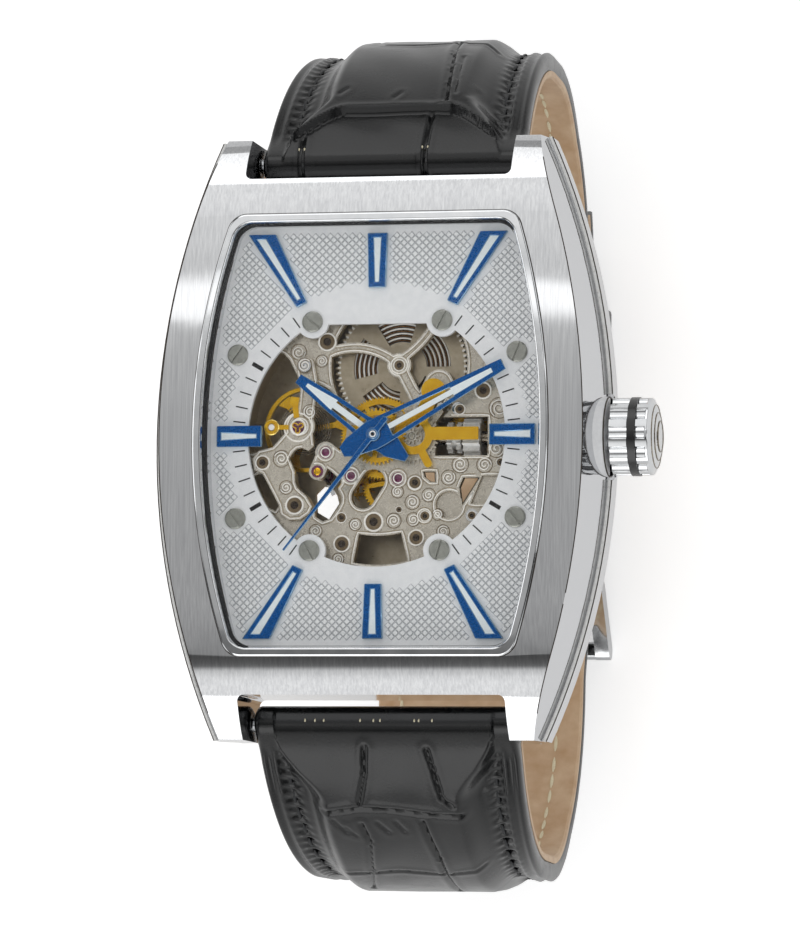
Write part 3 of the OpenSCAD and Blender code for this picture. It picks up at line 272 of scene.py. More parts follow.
class PatternGroups:
    """Builds each pattern's node group once, with named inputs and outputs."""

    DETAIL = {Pattern.CLOUD: 5.0, Pattern.STREAK: 2.0, Pattern.GRAIN: 4.0}
    ROUGHNESS = 0.62
    SHOWN = {"From Min": 0.25, "From Max": 0.75}
    COARSER = 0.21
    INPUTS = (
        ("Place", "Vector", (0.0, 0.0, 0.0)),
        ("Cells", "Float", 1000.0),
        ("Stretch", "Vector", (1.0, 1.0, 1.0)),
    )

    def __init__(self) -> None:
        """Starts with no group built."""
        self.built: dict[Pattern, bpy.types.NodeTree] = {}

    def get(self, pattern: Pattern) -> bpy.types.NodeTree:
        """The group for a pattern.

        Args:
            pattern: Which structure it gives.

        Returns:
            The group, built when it is first asked for.
        """
        if pattern not in self.built:
            self.built[pattern] = self.make(pattern)
        return self.built[pattern]

    def make(self, pattern: Pattern) -> bpy.types.NodeTree:
        """Builds one group.

        Args:
            pattern: Which structure to build.

        Returns:
            A group with the inputs Place, Cells and Stretch, and the outputs Mask and Height.
        """
        net = Net(bpy.data.node_groups.new(f"{pattern.value}_pattern", "ShaderNodeTree"))
        face = net.tree.interface
        for key, kind, default in self.INPUTS:
            face.new_socket(key, in_out="INPUT", socket_type=f"NodeSocket{kind}").default_value = default
        for key in ("Mask", "Height"):
            face.new_socket(key, in_out="OUTPUT", socket_type="NodeSocketFloat")
        inside = net.add("NodeGroupInput").outputs
        factors = {0: inside["Place"], 1: inside["Stretch"]}
        scaled = net.add("ShaderNodeVectorMath", factors, operation="MULTIPLY")
        if pattern is Pattern.GRAIN:
            mask, height = self.grain(net, scaled.outputs[0], inside["Cells"])
        else:
            inputs = {"Vector": scaled.outputs[0], "Scale": inside["Cells"], "Detail": self.DETAIL[pattern]}
            noise = net.add("ShaderNodeTexNoise", inputs | {"Roughness": self.ROUGHNESS})
            mask = height = noise.outputs["Fac"]
        spread = net.add("ShaderNodeMapRange", {"Value": mask} | self.SHOWN)
        net.add("NodeGroupOutput", {"Mask": spread.outputs["Result"], "Height": height})
        return net.tree

    def grain(
        self, net: Net, place: bpy.types.NodeSocket, cells: bpy.types.NodeSocket
    ) -> tuple[bpy.types.NodeSocket, bpy.types.NodeSocket]:
        """Leather grain: small cells with creases between them, and a broad unevenness.

        Args:
            net: The group that is being built.
            place: The scaled coordinates.
            cells: How many cells there are in a metre.

        Returns:
            The sockets of the mask and of the height.
        """
        fine = {"Vector": place, "Scale": cells}
        crease = net.add("ShaderNodeTexVoronoi", fine, feature="DISTANCE_TO_EDGE")
        coarse = {"Vector": place, "Scale": net.math("MULTIPLY", cells, self.COARSER)}
        noise = net.add("ShaderNodeTexNoise", coarse | {"Detail": self.DETAIL[Pattern.GRAIN]}).outputs["Fac"]
        return noise, net.math("ADD", crease.outputs["Distance"], noise)


GROUPS = PatternGroups()


@dataclass(frozen=True)
class Finish:
    """A surface whose colour and gloss vary with a pattern."""

    name: str
    low: str
    high: str
    gloss: tuple[float, float]
    metallic: float = 0.0
    pattern: Pattern = Pattern.CLOUD
    cells: float = 900.0
    stretch: Point3 = (1.0, 1.0, 1.0)
    depth: float = 0.004
    strength: float = 0.4
    coat: float = 0.0
    coat_gloss: float = 0.12
    sheen: float = 0.0
    specular: float = 0.5
    across: Point3 | None = None
    pull: float = 0.85

    def build(self) -> bpy.types.Material:
        """Builds the material.

        Returns:
            The material, ready for a slot.
        """
        shader = Shader(self.name)
        inputs = {"Place": shader.place, "Cells": self.cells, "Stretch": self.stretch}
        found = shader.add("ShaderNodeGroup", inputs, node_tree=GROUPS.get(self.pattern)).outputs
        shader.feed(shader.surface, {
            "Base Color": shader.blend(found["Mask"], srgb(self.low), srgb(self.high)),
            "Roughness": shader.span(found["Mask"], *self.gloss),
            "Metallic": self.metallic,
            "Coat Weight": self.coat,
            "Coat Roughness": self.coat_gloss,
            "Sheen Weight": self.sheen,
            "Specular IOR Level": self.specular,
        })
        if self.depth > 0:
            shader.relief(found["Height"], self.depth, self.strength)
        if self.across is not None:
            tangent = shader.add("ShaderNodeCombineXYZ", dict(enumerate(self.across))).outputs["Vector"]
            shader.feed(shader.surface, {"Anisotropic": self.pull, "Tangent": tangent})
        self.extend(shader)
        return shader.material

    def extend(self, shader: Shader) -> None:
        """Adds what a kind of finish has besides; a plain one adds nothing."""


@dataclass(frozen=True)
class CaseFinish(Finish):
    """Brushed on what faces the front, and another colour and gloss where it turns away: polished steel on
    the case's flanks and inner walls, a painted highlight on the bevels of gilt and blued parts, and painted
    shade on the walls of nickel parts.
    """

    # Polished steel on the case; on gilt and blued bevels a painted highlight, on nickel walls painted shade.
    polished: str = "e9eaeb"
    polished_gloss: float = 0.07
    front_from: float = 0.42
    front_ease: float = 0.05

    def extend(self, shader: Shader) -> None:
        """Swaps colour and gloss where the surface turns away from the front: real polish on the case, a
        painted highlight or painted shade on other parts.

        Args:
            shader: The material so far.
        """
        normal = shader.add("ShaderNodeTexCoord").outputs["Normal"]
        front = shader.rise(normal, self.front_from, self.front_from + self.front_ease)
        shader.swap("Base Color", front, srgb(self.polished))
        shader.swap("Roughness", front, self.polished_gloss, "FLOAT")


@dataclass(frozen=True)
class PaintedShadeReliefFinish(Finish):
    """Bright on raised tops, with painted shade that darkens the colour down to the ground between them."""

    # The colour of the painted shade at the ground between the raised tops.
    painted_ground_shade: str = "9a9ea2"
    sunk_z: float = 7.905
    raised_z: float = 7.975

    def extend(self, shader: Shader) -> None:
        """Paints shade: darkens the colour towards the ground, by height."""
        raised = shader.rise(shader.place, self.sunk_z * MM, self.raised_z * MM)
        shader.swap("Base Color", raised, srgb(self.painted_ground_shade))


@dataclass(frozen=True)
class GlassFinish(Finish):
    """Clear glass that lets the lamps through to what lies under it."""

    index: float = 1.22

    def extend(self, shader: Shader) -> None:
        """Makes the surface transmit, and opens it to shadow rays and diffuse rays.

        Args:
            shader: The material so far.
        """
        shader.feed(shader.surface, {"Transmission Weight": 1.0, "IOR": self.index})
        path = shader.add("ShaderNodeLightPath").outputs
        either = shader.math("MAXIMUM", path["Is Shadow Ray"], path["Is Diffuse Ray"])
        clear = shader.add("ShaderNodeBsdfTransparent").outputs["BSDF"]
        mix = shader.add("ShaderNodeMixShader", {"Fac": either, 1: shader.surface.outputs["BSDF"], 2: clear})
        shader.feed(shader.output, {"Surface": mix.outputs["Shader"]})


class Finishes:
    """Every finish of the watch, each built when it is first asked for."""

    ALL: dict[str, Finish] = {
        f.name: f
        for f in (
            CaseFinish(
                "brushed_steel", "c4c5c7", "dedfe0", (0.05, 0.09), 1.0, Pattern.STREAK, 6000.0,
                (1.0, 0.012, 1.0), 0.0008, 0.3, across=(1.0, 0.0, 0.0), polished="d6d7d9",
            ),
            Finish("polished_steel", "cfd1d3", "e2e3e4", (0.05, 0.11), 1.0, cells=400.0, depth=0.0),
            Finish("dark_steel", "6a6256", "958c7e", (0.20, 0.34), 1.0, cells=2500.0, depth=0.002),
            # Nickel: the darker brown on its walls is painted shade.
            CaseFinish(
                "nickel", "bab3a5", "d3ccbf", (0.22, 0.32), 0.6, cells=1500.0, depth=0.002, strength=0.25,
                polished="9c8a68", polished_gloss=0.3, front_from=0.6,
            ),
            # Nickel bridges: the darker brown on their walls is painted shade.
            CaseFinish(
                "nickel_deep", "a0937c", "bfb39d", (0.26, 0.36), 0.6, cells=1200.0, depth=0.002, strength=0.4,
                polished="8f7c5c", polished_gloss=0.35, front_from=0.6,
            ),
            # Gilt: the pale yellow on its bevels is a painted highlight.
            CaseFinish(
                "gilt", "dba31a", "eabc2e", (0.18, 0.26), 0.75, cells=700.0, depth=0.001,
                polished="ffe084", polished_gloss=0.22, front_from=0.8,
            ),
            Finish("ruby", "451230", "7c2f5c", (0.06, 0.12), 0.0, cells=900.0, depth=0.0, coat=0.6),
            # Near-white diffuse nickel that stands in for the glint of polished edges: a painted highlight.
            Finish("painted_highlight_nickel", "fffaf0", "fffefa", (0.12, 0.22), 0.2, cells=2600.0, depth=0.0),
            # Brown that paints the shade beside engraved relief and in sunk dishes.
            Finish("painted_shade_brown", "5d4d36", "85745a", (0.35, 0.5), 0.4, cells=1500.0, depth=0.001),
            Finish("spring_brown", "5a3a14", "7a5220", (0.3, 0.4), 0.5, cells=1500.0, depth=0.001),
            Finish("sunk_shadow", "16110c", "3b2d1f", (0.35, 0.5), 0.3, cells=3000.0, depth=0.002),
            Finish("seat_grey", "e0e1e3", "ecedee", (0.3, 0.4), 0.0, cells=2600.0, depth=0.0),
            Finish("bright_steel", "d8d8d6", "f2f2f0", (0.25, 0.35), 0.1, cells=2600.0, depth=0.002),
            GlassFinish("crystal_glass", "ffffff", "fdfefe", (0.0, 0.004), cells=90.0, depth=0.0),
            Finish("black_seal", "17181a", "232426", (0.45, 0.6), cells=1500.0, depth=0.006),
            Finish("black_rubber", "0b0b0c", "161617", (0.22, 0.34), cells=1500.0, depth=0.004, coat=0.2),
            Finish("holder_metal", "6f6c67", "8b8882", (0.35, 0.5), 0.6, cells=1500.0, depth=0.004),
            Finish("silver_dial", "e4e6e8", "f0f1f2", (0.30, 0.40), 0.1, cells=1700.0, depth=0.002),
            # Silver diamonds whose sides carry painted shade, darker towards the ground.
            PaintedShadeReliefFinish("silver_relief", "e9ebed", "fafbfb", (0.18, 0.28), 0.2, cells=1700.0, depth=0.002),
            Finish("dial_screw_metal", "8e8f88", "a9aaa3", (0.34, 0.46), 0.75, cells=3000.0, depth=0.004),
            # Blued steel: the pale blue on its bevels is a painted highlight.
            CaseFinish(
                "blued_steel", "055297", "07569b", (0.22, 0.32), 0.6, cells=1700.0, depth=0.001,
                specular=0.25, polished="8fb4d2", polished_gloss=0.2, front_from=0.86,
            ),
            Finish("pale_lume", "dfe9ec", "edf3f5", (0.55, 0.7), cells=4000.0, depth=0.006),
            Finish("black_print", "0c0c0d", "161617", (0.4, 0.5), cells=2500.0, depth=0.0),
            Finish(
                "black_leather", "060708", "0f1011", (0.20, 0.30), 0.0, Pattern.GRAIN, 2300.0,
                depth=0.03, strength=0.30, coat=0.12, specular=0.38,
            ),
            Finish(
                "tan_leather", "c09c77", "dabf9f", (0.55, 0.75), 0.0, Pattern.GRAIN, 2600.0,
                depth=0.03, strength=0.3, sheen=0.15,
            ),
            Finish("black_thread", "101113", "26282b", (0.5, 0.7), cells=5000.0, depth=0.02),
            Finish("cream_thread", "d9cfae", "efe7cb", (0.6, 0.8), cells=5000.0, depth=0.02),
        )
    }

    def __init__(self) -> None:
        """Starts with nothing built."""
        self.built: dict[str, bpy.types.Material] = {}

    def get(self, name: str) -> bpy.types.Material:
        """The material of a finish.

        Args:
            name: The finish's name.

        Returns:
            The material, built when it is first asked for.
        """
        if name not in self.built:
            self.built[name] = self.ALL[name].build()
        return self.built[name]


FINISHES = Finishes()


def crease_sharply(mesh: bpy.types.Mesh, degrees: float = 32.0) -> None:
    """Shades a mesh smoothly, apart from edges that turn by more than an angle."""
    mesh.polygons.foreach_set("use_smooth", [True] * len(mesh.polygons))
    mesh.set_sharp_from_angle(angle=math.radians(degrees))


def in_scene(name: str, data: bpy.types.ID) -> bpy.types.Object:
    """Links a new object into the scene.

    Args:
        name: The object's name.
        data: Its mesh, lamp or camera.

    Returns:
        The object, at the origin.
    """
    thing = bpy.data.objects.new(name, data)
    bpy.context.scene.collection.objects.link(thing)
    return thing


def applied(thing: bpy.types.Object) -> bpy.types.Mesh:
    """What an object's modifiers make.

    Args:
        thing: An object in the scene.

    Returns:
        A plain mesh.
    """
    bpy.context.view_layer.update()
    graph = bpy.context.evaluated_depsgraph_get()
    return bpy.data.meshes.new_from_object(thing.evaluated_get(graph), depsgraph=graph)


def lines_from(name: str, points: Iterable[Point3], edges: Sequence[tuple[int, int]] = ()) -> bpy.types.Mesh:
    """Makes a mesh of bare points, or of lines between them.

    Args:
        name: The mesh's name.
        points: The points in millimetres.
        edges: The two point numbers of each line.

    Returns:
        The mesh, in metres.
    """
    mesh = bpy.data.meshes.new(name)
    mesh.from_pydata([tuple(c * MM for c in p) for p in points], edges, [])
    return mesh


def mesh_from(name: str, points: Iterable[Point3], faces: Iterable[Sequence[int]]) -> bpy.types.Mesh:
    """Makes a mesh whose faces point out.

    Args:
        name: The mesh's name.
        points: Corners in millimetres.
        faces: Corner numbers of each face.

    Returns:
        The mesh, in metres, with doubles merged.
    """
    mesh = bpy.data.meshes.new(name)
    mesh.from_pydata([tuple(c * MM for c in p) for p in points], [], [tuple(f) for f in faces])
    work = bmesh.new()
    work.from_mesh(mesh)
    bmesh.ops.remove_doubles(work, verts=work.verts, dist=1e-8)
    bmesh.ops.recalc_face_normals(work, faces=work.faces)
    work.to_mesh(mesh)
    work.free()
    crease_sharply(mesh)
    return mesh


@dataclass
class Piece:
    """What a finished piece is told about itself."""

    body: str
    slot: str
    finish: str
    replaces: tuple[str, ...] = ()

    def settle(self, thing: bpy.types.Object) -> bpy.types.Object:
        """Dresses an object and fixes it to its body.

        Args:
            thing: A mesh object at the origin, in the scene.

        Returns:
            The same object.
        """
        if not thing.data.materials:
            thing.data.materials.append(FINISHES.get(self.finish))
        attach(thing, self.body)
        if self.replaces:
            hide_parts(*self.replaces)
        LOG.info("%s rides on %s", thing.name, self.body)
        return thing

    def make(self, name: str, shape: Shape) -> bpy.types.Object:
        """Makes an object of a shape in millimetres, and settles it."""
        return self.settle(in_scene(name, mesh_from(name, *shape)))


def skin(sections: Sequence[Sequence[Point3]], around: bool = False) -> Shape:
    """Joins closed sections, each with as many points, into a closed skin.

    Args:
        sections: The sections in order.
        around: Whether the last is joined to the first, and not each end capped.

    Returns:
        Points and faces.
    """
    count, ring = len(sections), len(sections[0])
    points = [p for section in sections for p in section]
    faces = []
    for i in range(count if around else count - 1):
        here, there = i * ring, (i + 1) % count * ring
        for j in range(ring):
            k = (j + 1) % ring
            faces.append([here + j, here + k, there + k, there + j])
    if not around:
        faces += [list(range(ring)), list(range(len(points) - ring, len(points)))[::-1]]
    return points, faces


def joined(parts: Iterable[Shape]) -> Shape:
    """Joins several shapes into one.

    Args:
        parts: Points and faces of each.

    Returns:
        Points and faces of all.
    """
    points: list[Point3] = []
    faces: list[list[int]] = []
    for some_points, some_faces in parts:
        faces += [[i + len(points) for i in f] for f in some_faces]
        points += some_points
    return points, faces


def prism(outline: Sequence[Point], low: float, high: float) -> Shape:
    """A flat shape with upright walls, from its corners in plan and two heights."""
    return skin([[(x, y, z) for x, y in outline] for z in (low, high)])


def lathe(profile: Sequence[Point], steps: int, axis: Point = (0.0, 0.0)) -> Shape:
    """Turns a closed profile of radius and height about an upright axis, with that many sides."""
    return skin([[(x, y, z) for x, y in circle(r, steps, axis)] for r, z in profile], around=True)


class ShapeNet(Net):
    """A geometry tree with named inputs."""

    def __init__(self, name: str, inputs: dict[str, str]) -> None:
        """Makes the tree with a geometry input and output, and the named inputs.

        Args:
            name: The tree's name.
            inputs: The kind of each further input, by its name.
        """
        super().__init__(bpy.data.node_groups.new(name, "GeometryNodeTree"))
        face = self.tree.interface
        for key, kind in {"Geometry": "Geometry", **inputs}.items():
            face.new_socket(key, in_out="INPUT", socket_type=f"NodeSocket{kind}")
        face.new_socket("Geometry", in_out="OUTPUT", socket_type="NodeSocketGeometry")
        self.start = self.add("NodeGroupInput").outputs

    def close(self, shape: bpy.types.NodeSocket) -> bpy.types.NodeTree:
        """Ends the tree: what was placed becomes real, and takes the finish that was passed in.

        Args:
            shape: The socket that gives the shape.

        Returns:
            The tree.
        """
        real = self.add("GeometryNodeRealizeInstances", {"Geometry": shape}).outputs["Geometry"]
        dress = self.add("GeometryNodeSetMaterial", {"Geometry": real, "Material": self.start["Finish"]})
        self.add("NodeGroupOutput", {"Geometry": dress.outputs["Geometry"]})
        return self.tree


class Maker:
    """The two geometry trees of this watch: copies of a small piece at points, and beads along lines."""

    def __init__(self) -> None:
        """Builds both trees."""
        self.copies = self.copy_tree()
        self.beads = self.bead_tree()

    @staticmethod
    def copy_tree() -> bpy.types.NodeTree:
        """Puts a template at each point, turned and sized by the point's own attributes.

        Returns:
            The tree, with the inputs Template and Finish.
        """
        net = ShapeNet("copies", {"Template": "Object", "Finish": "Material"})
        template = {"Object": net.start["Template"]}
        info = net.add("GeometryNodeObjectInfo", template, transform_space="ORIGINAL")
        kind = "GeometryNodeInputNamedAttribute"
        turn, size = (
            net.add(kind, {"Name": key}, data_type="FLOAT_VECTOR").outputs["Attribute"]
            for key in ("turn", "size")
        )
        angles = net.add("FunctionNodeEulerToRotation", {"Euler": turn}).outputs["Rotation"]
        inputs = {"Points": net.start["Geometry"], "Instance": info.outputs["Geometry"]}
        spread = net.add("GeometryNodeInstanceOnPoints", inputs | {"Rotation": angles, "Scale": size})
        return net.close(spread.outputs["Instances"])

    @staticmethod
    def bead_tree() -> bpy.types.NodeTree:
        """Runs a round bead along the edges of a mesh.

        Returns:
            The tree, with the inputs Radius, Sides and Finish.
        """
        net = ShapeNet("beads", {"Radius": "Float", "Sides": "Int", "Finish": "Material"})
        line = net.add("GeometryNodeMeshToCurve", {"Mesh": net.start["Geometry"]}).outputs["Curve"]
        inputs = {"Resolution": net.start["Sides"], "Radius": net.start["Radius"]}
        ring = net.add("GeometryNodeCurvePrimitiveCircle", inputs).outputs["Curve"]
        sweep = net.add("GeometryNodeCurveToMesh", {"Curve": line, "Profile Curve": ring, "Fill Caps": True})
        return net.close(sweep.outputs["Mesh"])

    @staticmethod
    def bake(
        name: str, carrier: bpy.types.Mesh, tree: bpy.types.NodeTree, values: dict[str, object]
    ) -> bpy.types.Object:
        """Runs a tree on a carrier mesh and keeps the result as a plain mesh.

        Args:
            name: The new piece's name.
            carrier: The mesh whose points or edges the tree follows.
            tree: The geometry tree.
            values: The tree's inputs by name.

        Returns:
            The new object.
        """
        holder = in_scene(f"{name}_carrier", carrier)
        modifier = holder.modifiers.new("build", "NODES")
        modifier.node_group = tree
        for item in tree.interface.items_tree:
            if item.in_out == "INPUT" and item.name in values:
                modifier[item.identifier] = values[item.name]
        mesh = applied(holder)
        holder.modifiers.remove(modifier)
        bpy.data.objects.remove(holder)
        crease_sharply(mesh)
        mesh.name = name
        return in_scene(name, mesh)

    def copy(
        self,
        name: str,
        template: bpy.types.Mesh,
        places: Sequence[Point3],
        piece: Piece,
        turns: Sequence[Point3] | None = None,
        sizes: Sequence[Point3] | None = None,
    ) -> bpy.types.Object:
        """Copies a template to places given in millimetres.

        Args:
            name: The new piece's name.
            template: The small mesh to copy.
            places: Where the copies stand.
            piece: Body, slot and finish.
            turns: Euler angles of each copy in radians, none turned if left out.
            sizes: Scale of each copy, full size if left out.

        Returns:
            The settled piece.
        """
        carrier = lines_from(f"{name}_points", places)
        for key, rows, default in (("turn", turns, (0.0, 0.0, 0.0)), ("size", sizes, (1.0, 1.0, 1.0))):
            data = np.array(rows if rows is not None else [default] * len(places), np.float32)
            attribute = carrier.attributes.new(key, "FLOAT_VECTOR", "POINT")
            attribute.data.foreach_set("vector", data.ravel())
        stamp = in_scene(f"{name}_template", template)
        values = {"Template": stamp, "Finish": FINISHES.get(piece.finish)}
        made = self.bake(name, carrier, self.copies, values)
        bpy.data.objects.remove(stamp)
        return piece.settle(made)

    def bead(
        self, name: str, lines: Sequence[Sequence[Point3]], radius: float, piece: Piece, sides: int = 6
    ) -> bpy.types.Object:
        """Runs a bead along lines given in millimetres.

        Args:
            name: The new piece's name.
            lines: The points of each line.
            radius: The bead's radius.
            piece: Body, slot and finish.
            sides: Sides of the bead.

        Returns:
            The settled piece.
        """
        points: list[Point3] = []
        edges: list[tuple[int, int]] = []
        for line in lines:
            edges += [(len(points) + i, len(points) + i + 1) for i in range(len(line) - 1)]
            points += line
        values = {"Radius": radius * MM, "Sides": sides, "Finish": FINISHES.get(piece.finish)}
        return piece.settle(self.bake(name, lines_from(f"{name}_lines", points, edges), self.beads, values))


class Frame:
    """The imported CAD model: its nodes, and ways to dress or refine them."""

    DRESS = {
        "brushed_steel": ("case_middle",),
        "polished_steel": (
            "bezel_ring", "case_back", "case_back_screws", "crown", "crown_tube", "spring_bars",
            "buckle_frame", "buckle_tongue", "buckle_bar", "pallet_fork", "balance_staff",
            "barrel_arbor", "cannon_pinion", "movement_screws", "rotor_bearing", "setting_wheel",
        ),
        "dark_steel": ("winding_stem", "hairspring", "mainspring"),
        "bright_steel": ("winding_pinion", "sliding_pinion"),
        "nickel": ("main_plate", "balance_cock", "minute_wheel"),
        "nickel_deep": ("train_bridge", "barrel_bridge", "rotor_weight", "barrel_drum"),
        "gilt": (
            "centre_wheel", "hour_wheel", "setting_cover", "third_wheel", "fourth_wheel",
            "escape_wheel", "balance_wheel", "ratchet_wheel", "crown_wheel",
        ),
        "ruby": ("jewels",),
        "crystal_glass": ("crystal", "case_back_glass"),
        "black_seal": ("crystal_gasket", "case_back_gasket"),
        "black_rubber": ("crown_ring",),
        "holder_metal": ("movement_holder",),
        "silver_dial": ("dial",),
        "dial_screw_metal": ("dial_screws",),
        "blued_steel": ("hour_markers", "hour_hand", "minute_hand", "second_hand"),
        "pale_lume": ("marker_lume", "hour_hand_lume", "minute_hand_lume"),
        "black_leather": ("strap_upper", "strap_lower", "keeper_fixed", "keeper_free"),
        "tan_leather": ("strap_upper_lining", "strap_lower_lining"),
    }

    def __init__(self) -> None:
        """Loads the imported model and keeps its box."""
        self.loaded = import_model()
        self.nodes: dict[str, bpy.types.Object] = self.loaded["nodes"]
        self.cad_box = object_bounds()
        behaviour = self.loaded["record"]["behaviour"]
        self.body_of = {n: body for body, members in behaviour["bodies"].items() for n in members}
        self.finish_of = {n: finish for finish, names in self.DRESS.items() for n in names}
        subparts = self.loaded["record"]["subparts"]
        self.slot_of = {s["node"]: s["material_slot"] for s in subparts}

    def dress(self) -> None:
        """Gives each CAD node its finish."""
        for name, node in self.nodes.items():
            node.data.materials.clear()
            node.data.materials.append(FINISHES.get(self.finish_of[name]))
            LOG.info("%s dressed as %s", name, self.finish_of[name])

    def beside(self, node: str, finish: str, replaces: tuple[str, ...] = ()) -> Piece:
        """What a piece is told that has a node's body and slot."""
        return Piece(self.body_of[node], self.slot_of[node], finish, replaces)

    def merged(self, name: str) -> bpy.types.Mesh:
        """A copy of a node's mesh with its doubles merged and its flat areas made one face.

        Args:
            name: The node.

        Returns:
            The copy.
        """
        mesh = self.nodes[name].data.copy()
        work = bmesh.new()
        work.from_mesh(mesh)
        bmesh.ops.remove_doubles(work, verts=work.verts, dist=1e-7)
        bmesh.ops.dissolve_limit(work, angle_limit=math.radians(0.5), verts=work.verts, edges=work.edges)
        work.to_mesh(mesh)
        work.free()
        for attribute in [a for a in mesh.attributes if a.name == "custom_normal"]:
            mesh.attributes.remove(attribute)
        return mesh

    def refine(self, name: str, width: float, segments: int, angle: float) -> bpy.types.Object:
        """Replaces a node with a copy whose edges are rounded.

        Args:
            name: The node.
            width: Width of the rounding in millimetres.
            segments: Steps of the rounding.
            angle: The least turn, in degrees, of an edge that is rounded.

        Returns:
            The settled piece.
        """
        plain = self.merged(name)
        crease_sharply(plain, 60.0)
        thing = in_scene(f"{name}_rounded", plain)
        bevel = thing.modifiers.new("edge", "BEVEL")
        bevel.width = width * MM
        bevel.segments = segments
        bevel.limit_method = "ANGLE"
        bevel.angle_limit = math.radians(angle)
        bevel.use_clamp_overlap = True
        thing.modifiers.new("even", "WEIGHTED_NORMAL").keep_sharp = True
        mesh = applied(thing)
        thing.modifiers.clear()
        thing.data = mesh
        mesh.materials.clear()
        return self.beside(name, self.finish_of[name], (name,)).settle(thing)

    def refine_all(self, roundings: Iterable[Rounding]) -> None:
        """Rounds each listed node."""
        for rounding in roundings:
            self.refine(*rounding)


@dataclass
class View:
    """The photograph's camera."""

    azimuth: float = 12.4
    elevation: float = 5.75
    roll: float = 0.79
    distance: float = 480.0
    scale: float = 11.355
    sensor: float = 36.0
    reach: Point = (0.02, 20.0)
    centre_px: Point = (376.07, 435.62)
    target: Point3 = (0.0, 0.0, 7.9)

    def build(self) -> bpy.types.Object:
        """Places the camera.

        Returns:
            The camera object, set as the scene's camera.
        """
        a, e = math.radians(self.azimuth), math.radians(self.elevation)
        back = Vector((math.sin(a) * math.cos(e), -math.sin(e), math.cos(a) * math.cos(e)))
        up = Matrix.Rotation(math.radians(self.roll), 3, back) @ Vector((0.0, 1.0, 0.0))
        right = up.cross(back).normalized()
        up = back.cross(right).normalized()
        shift = (PHOTO_W / 2 - self.centre_px[0]) * right - (PHOTO_H / 2 - self.centre_px[1]) * up
        place = Vector(self.target) + shift / self.scale + back * self.distance
        turn = Matrix((right, up, back)).transposed().to_4x4()
        data = bpy.data.cameras.new("camera")
        camera = in_scene("camera", data)
        camera.matrix_world = Matrix.Translation(place * MM) @ turn
        data.sensor_width = self.sensor
        data.lens = self.scale * self.distance * data.sensor_width / PHOTO_H
        data.clip_start, data.clip_end = self.reach
        bpy.context.scene.camera = camera
        return camera

@dataclass
class Part:
    """A sub-assembly, with the frame that it is built round and the maker of its repeated pieces."""

    frame: Frame
    maker: Maker


@dataclass
class Case(Part):
    """The case's metal: rounded edges on what the CAD leaves sharp, and thin painted shadow lines along the
    seam round the bezel and the case's outer edges.
    """

    rounded: tuple[Rounding, ...] = (
        ("case_middle", 0.16, 3, 25.0), ("bezel_ring", 0.16, 3, 25.0), ("case_back", 0.12, 2, 30.0),
        ("crystal", 0.12, 2, 30.0), ("crown", 0.07, 2, 30.0), ("dial", 0.05, 1, 30.0),
        ("setting_cover", 0.05, 1, 30.0), ("centre_wheel", 0.035, 1, 30.0), ("balance_wheel", 0.05, 1, 30.0),
        ("balance_cock", 0.07, 1, 30.0),
    )
    outline_from: float = 13.0
    bezel_reach: float = 20.2
    bezel_z: float = 9.0
    step_z: float = 5.0
    step_in: float = 0.2
    step_r: float = 0.16
    line_r: float = 0.05
    least_corners: int = 9

    def build(self) -> None:
        """Rounds the metal's edges, draws painted shadow lines along the case's face and bezel, and a pale
        bead along the flank step.
        """
        self.frame.refine_all(self.rounded)
        lines = self.outlines()
        # Dark beads of painted shadow along the face's outer edges and the bezel seat.
        self.maker.bead("case_lines", lines, self.line_r, Piece("case", "brushed_case", "sunk_shadow"))
        steps = [
            [(x - math.copysign(self.step_in, x), y, z) for x, y, z in line]
            for line in lines
            if all(abs(z - self.step_z) < 0.05 for _, _, z in line)
        ]
        self.maker.bead("case_steps", steps, self.step_r, Piece("case", "brushed_case", "bright_steel"))

    def outlines(self) -> list[list[Point3]]:
        """The case's long edges between what faces the front and the walls under it.

        Returns:
            The points of each line.
        """
        work = bmesh.new()
        work.from_mesh(self.frame.merged("case_middle"))
        places: dict[int, Point3] = {}
        pairs: list[tuple[int, int]] = []
        for edge in work.edges:
            if len(edge.link_faces) != 2:
                continue
            front, wall = sorted(edge.link_faces, key=lambda f: -f.normal.z)
            middle = (edge.verts[0].co + edge.verts[1].co) / (2 * MM)
            outer = abs(wall.normal.x) > 0.8 and abs(middle.x) > self.outline_from
            seat = wall.normal.dot(middle) < 0 and abs(middle.y) < self.bezel_reach
            seat = seat and middle.z > self.bezel_z
            below = wall.calc_center_median().z / MM < middle.z - 0.02
            turned = front.normal.z > 0.8 and wall.normal.z < 0.5 and middle.z > self.step_z - 0.1
            if turned and below and (outer or seat):
                pairs.append((edge.verts[0].index, edge.verts[1].index))
                places |= {v.index: tuple(v.co / MM) for v in edge.verts}
        work.free()
        return [[places[i] for i in line] for line in chains(pairs) if len(line) >= self.least_corners]


def chains(pairs: Sequence[tuple[int, int]]) -> list[list[int]]:
    """Edges joined end to end into runs.

    Args:
        pairs: The two corner numbers of each edge.

    Returns:
        The corner numbers of each run; a closed one comes back to its first.
    """
    beside: dict[int, list[int]] = {}
    for a, b in pairs:
        beside.setdefault(a, []).append(b)
        beside.setdefault(b, []).append(a)
    left = set(beside)
    lines = []
    while left:
        here = start = min(left, key=lambda i: (len(beside[i]) != 1, i))
        line = [here]
        left.discard(here)
        while onward := [i for i in beside[here] if i in left]:
            here = onward[0]
            left.discard(here)
            line.append(here)
        lines.append(line + [start] * (len(line) > 2 and start in beside[here]))
    return lines


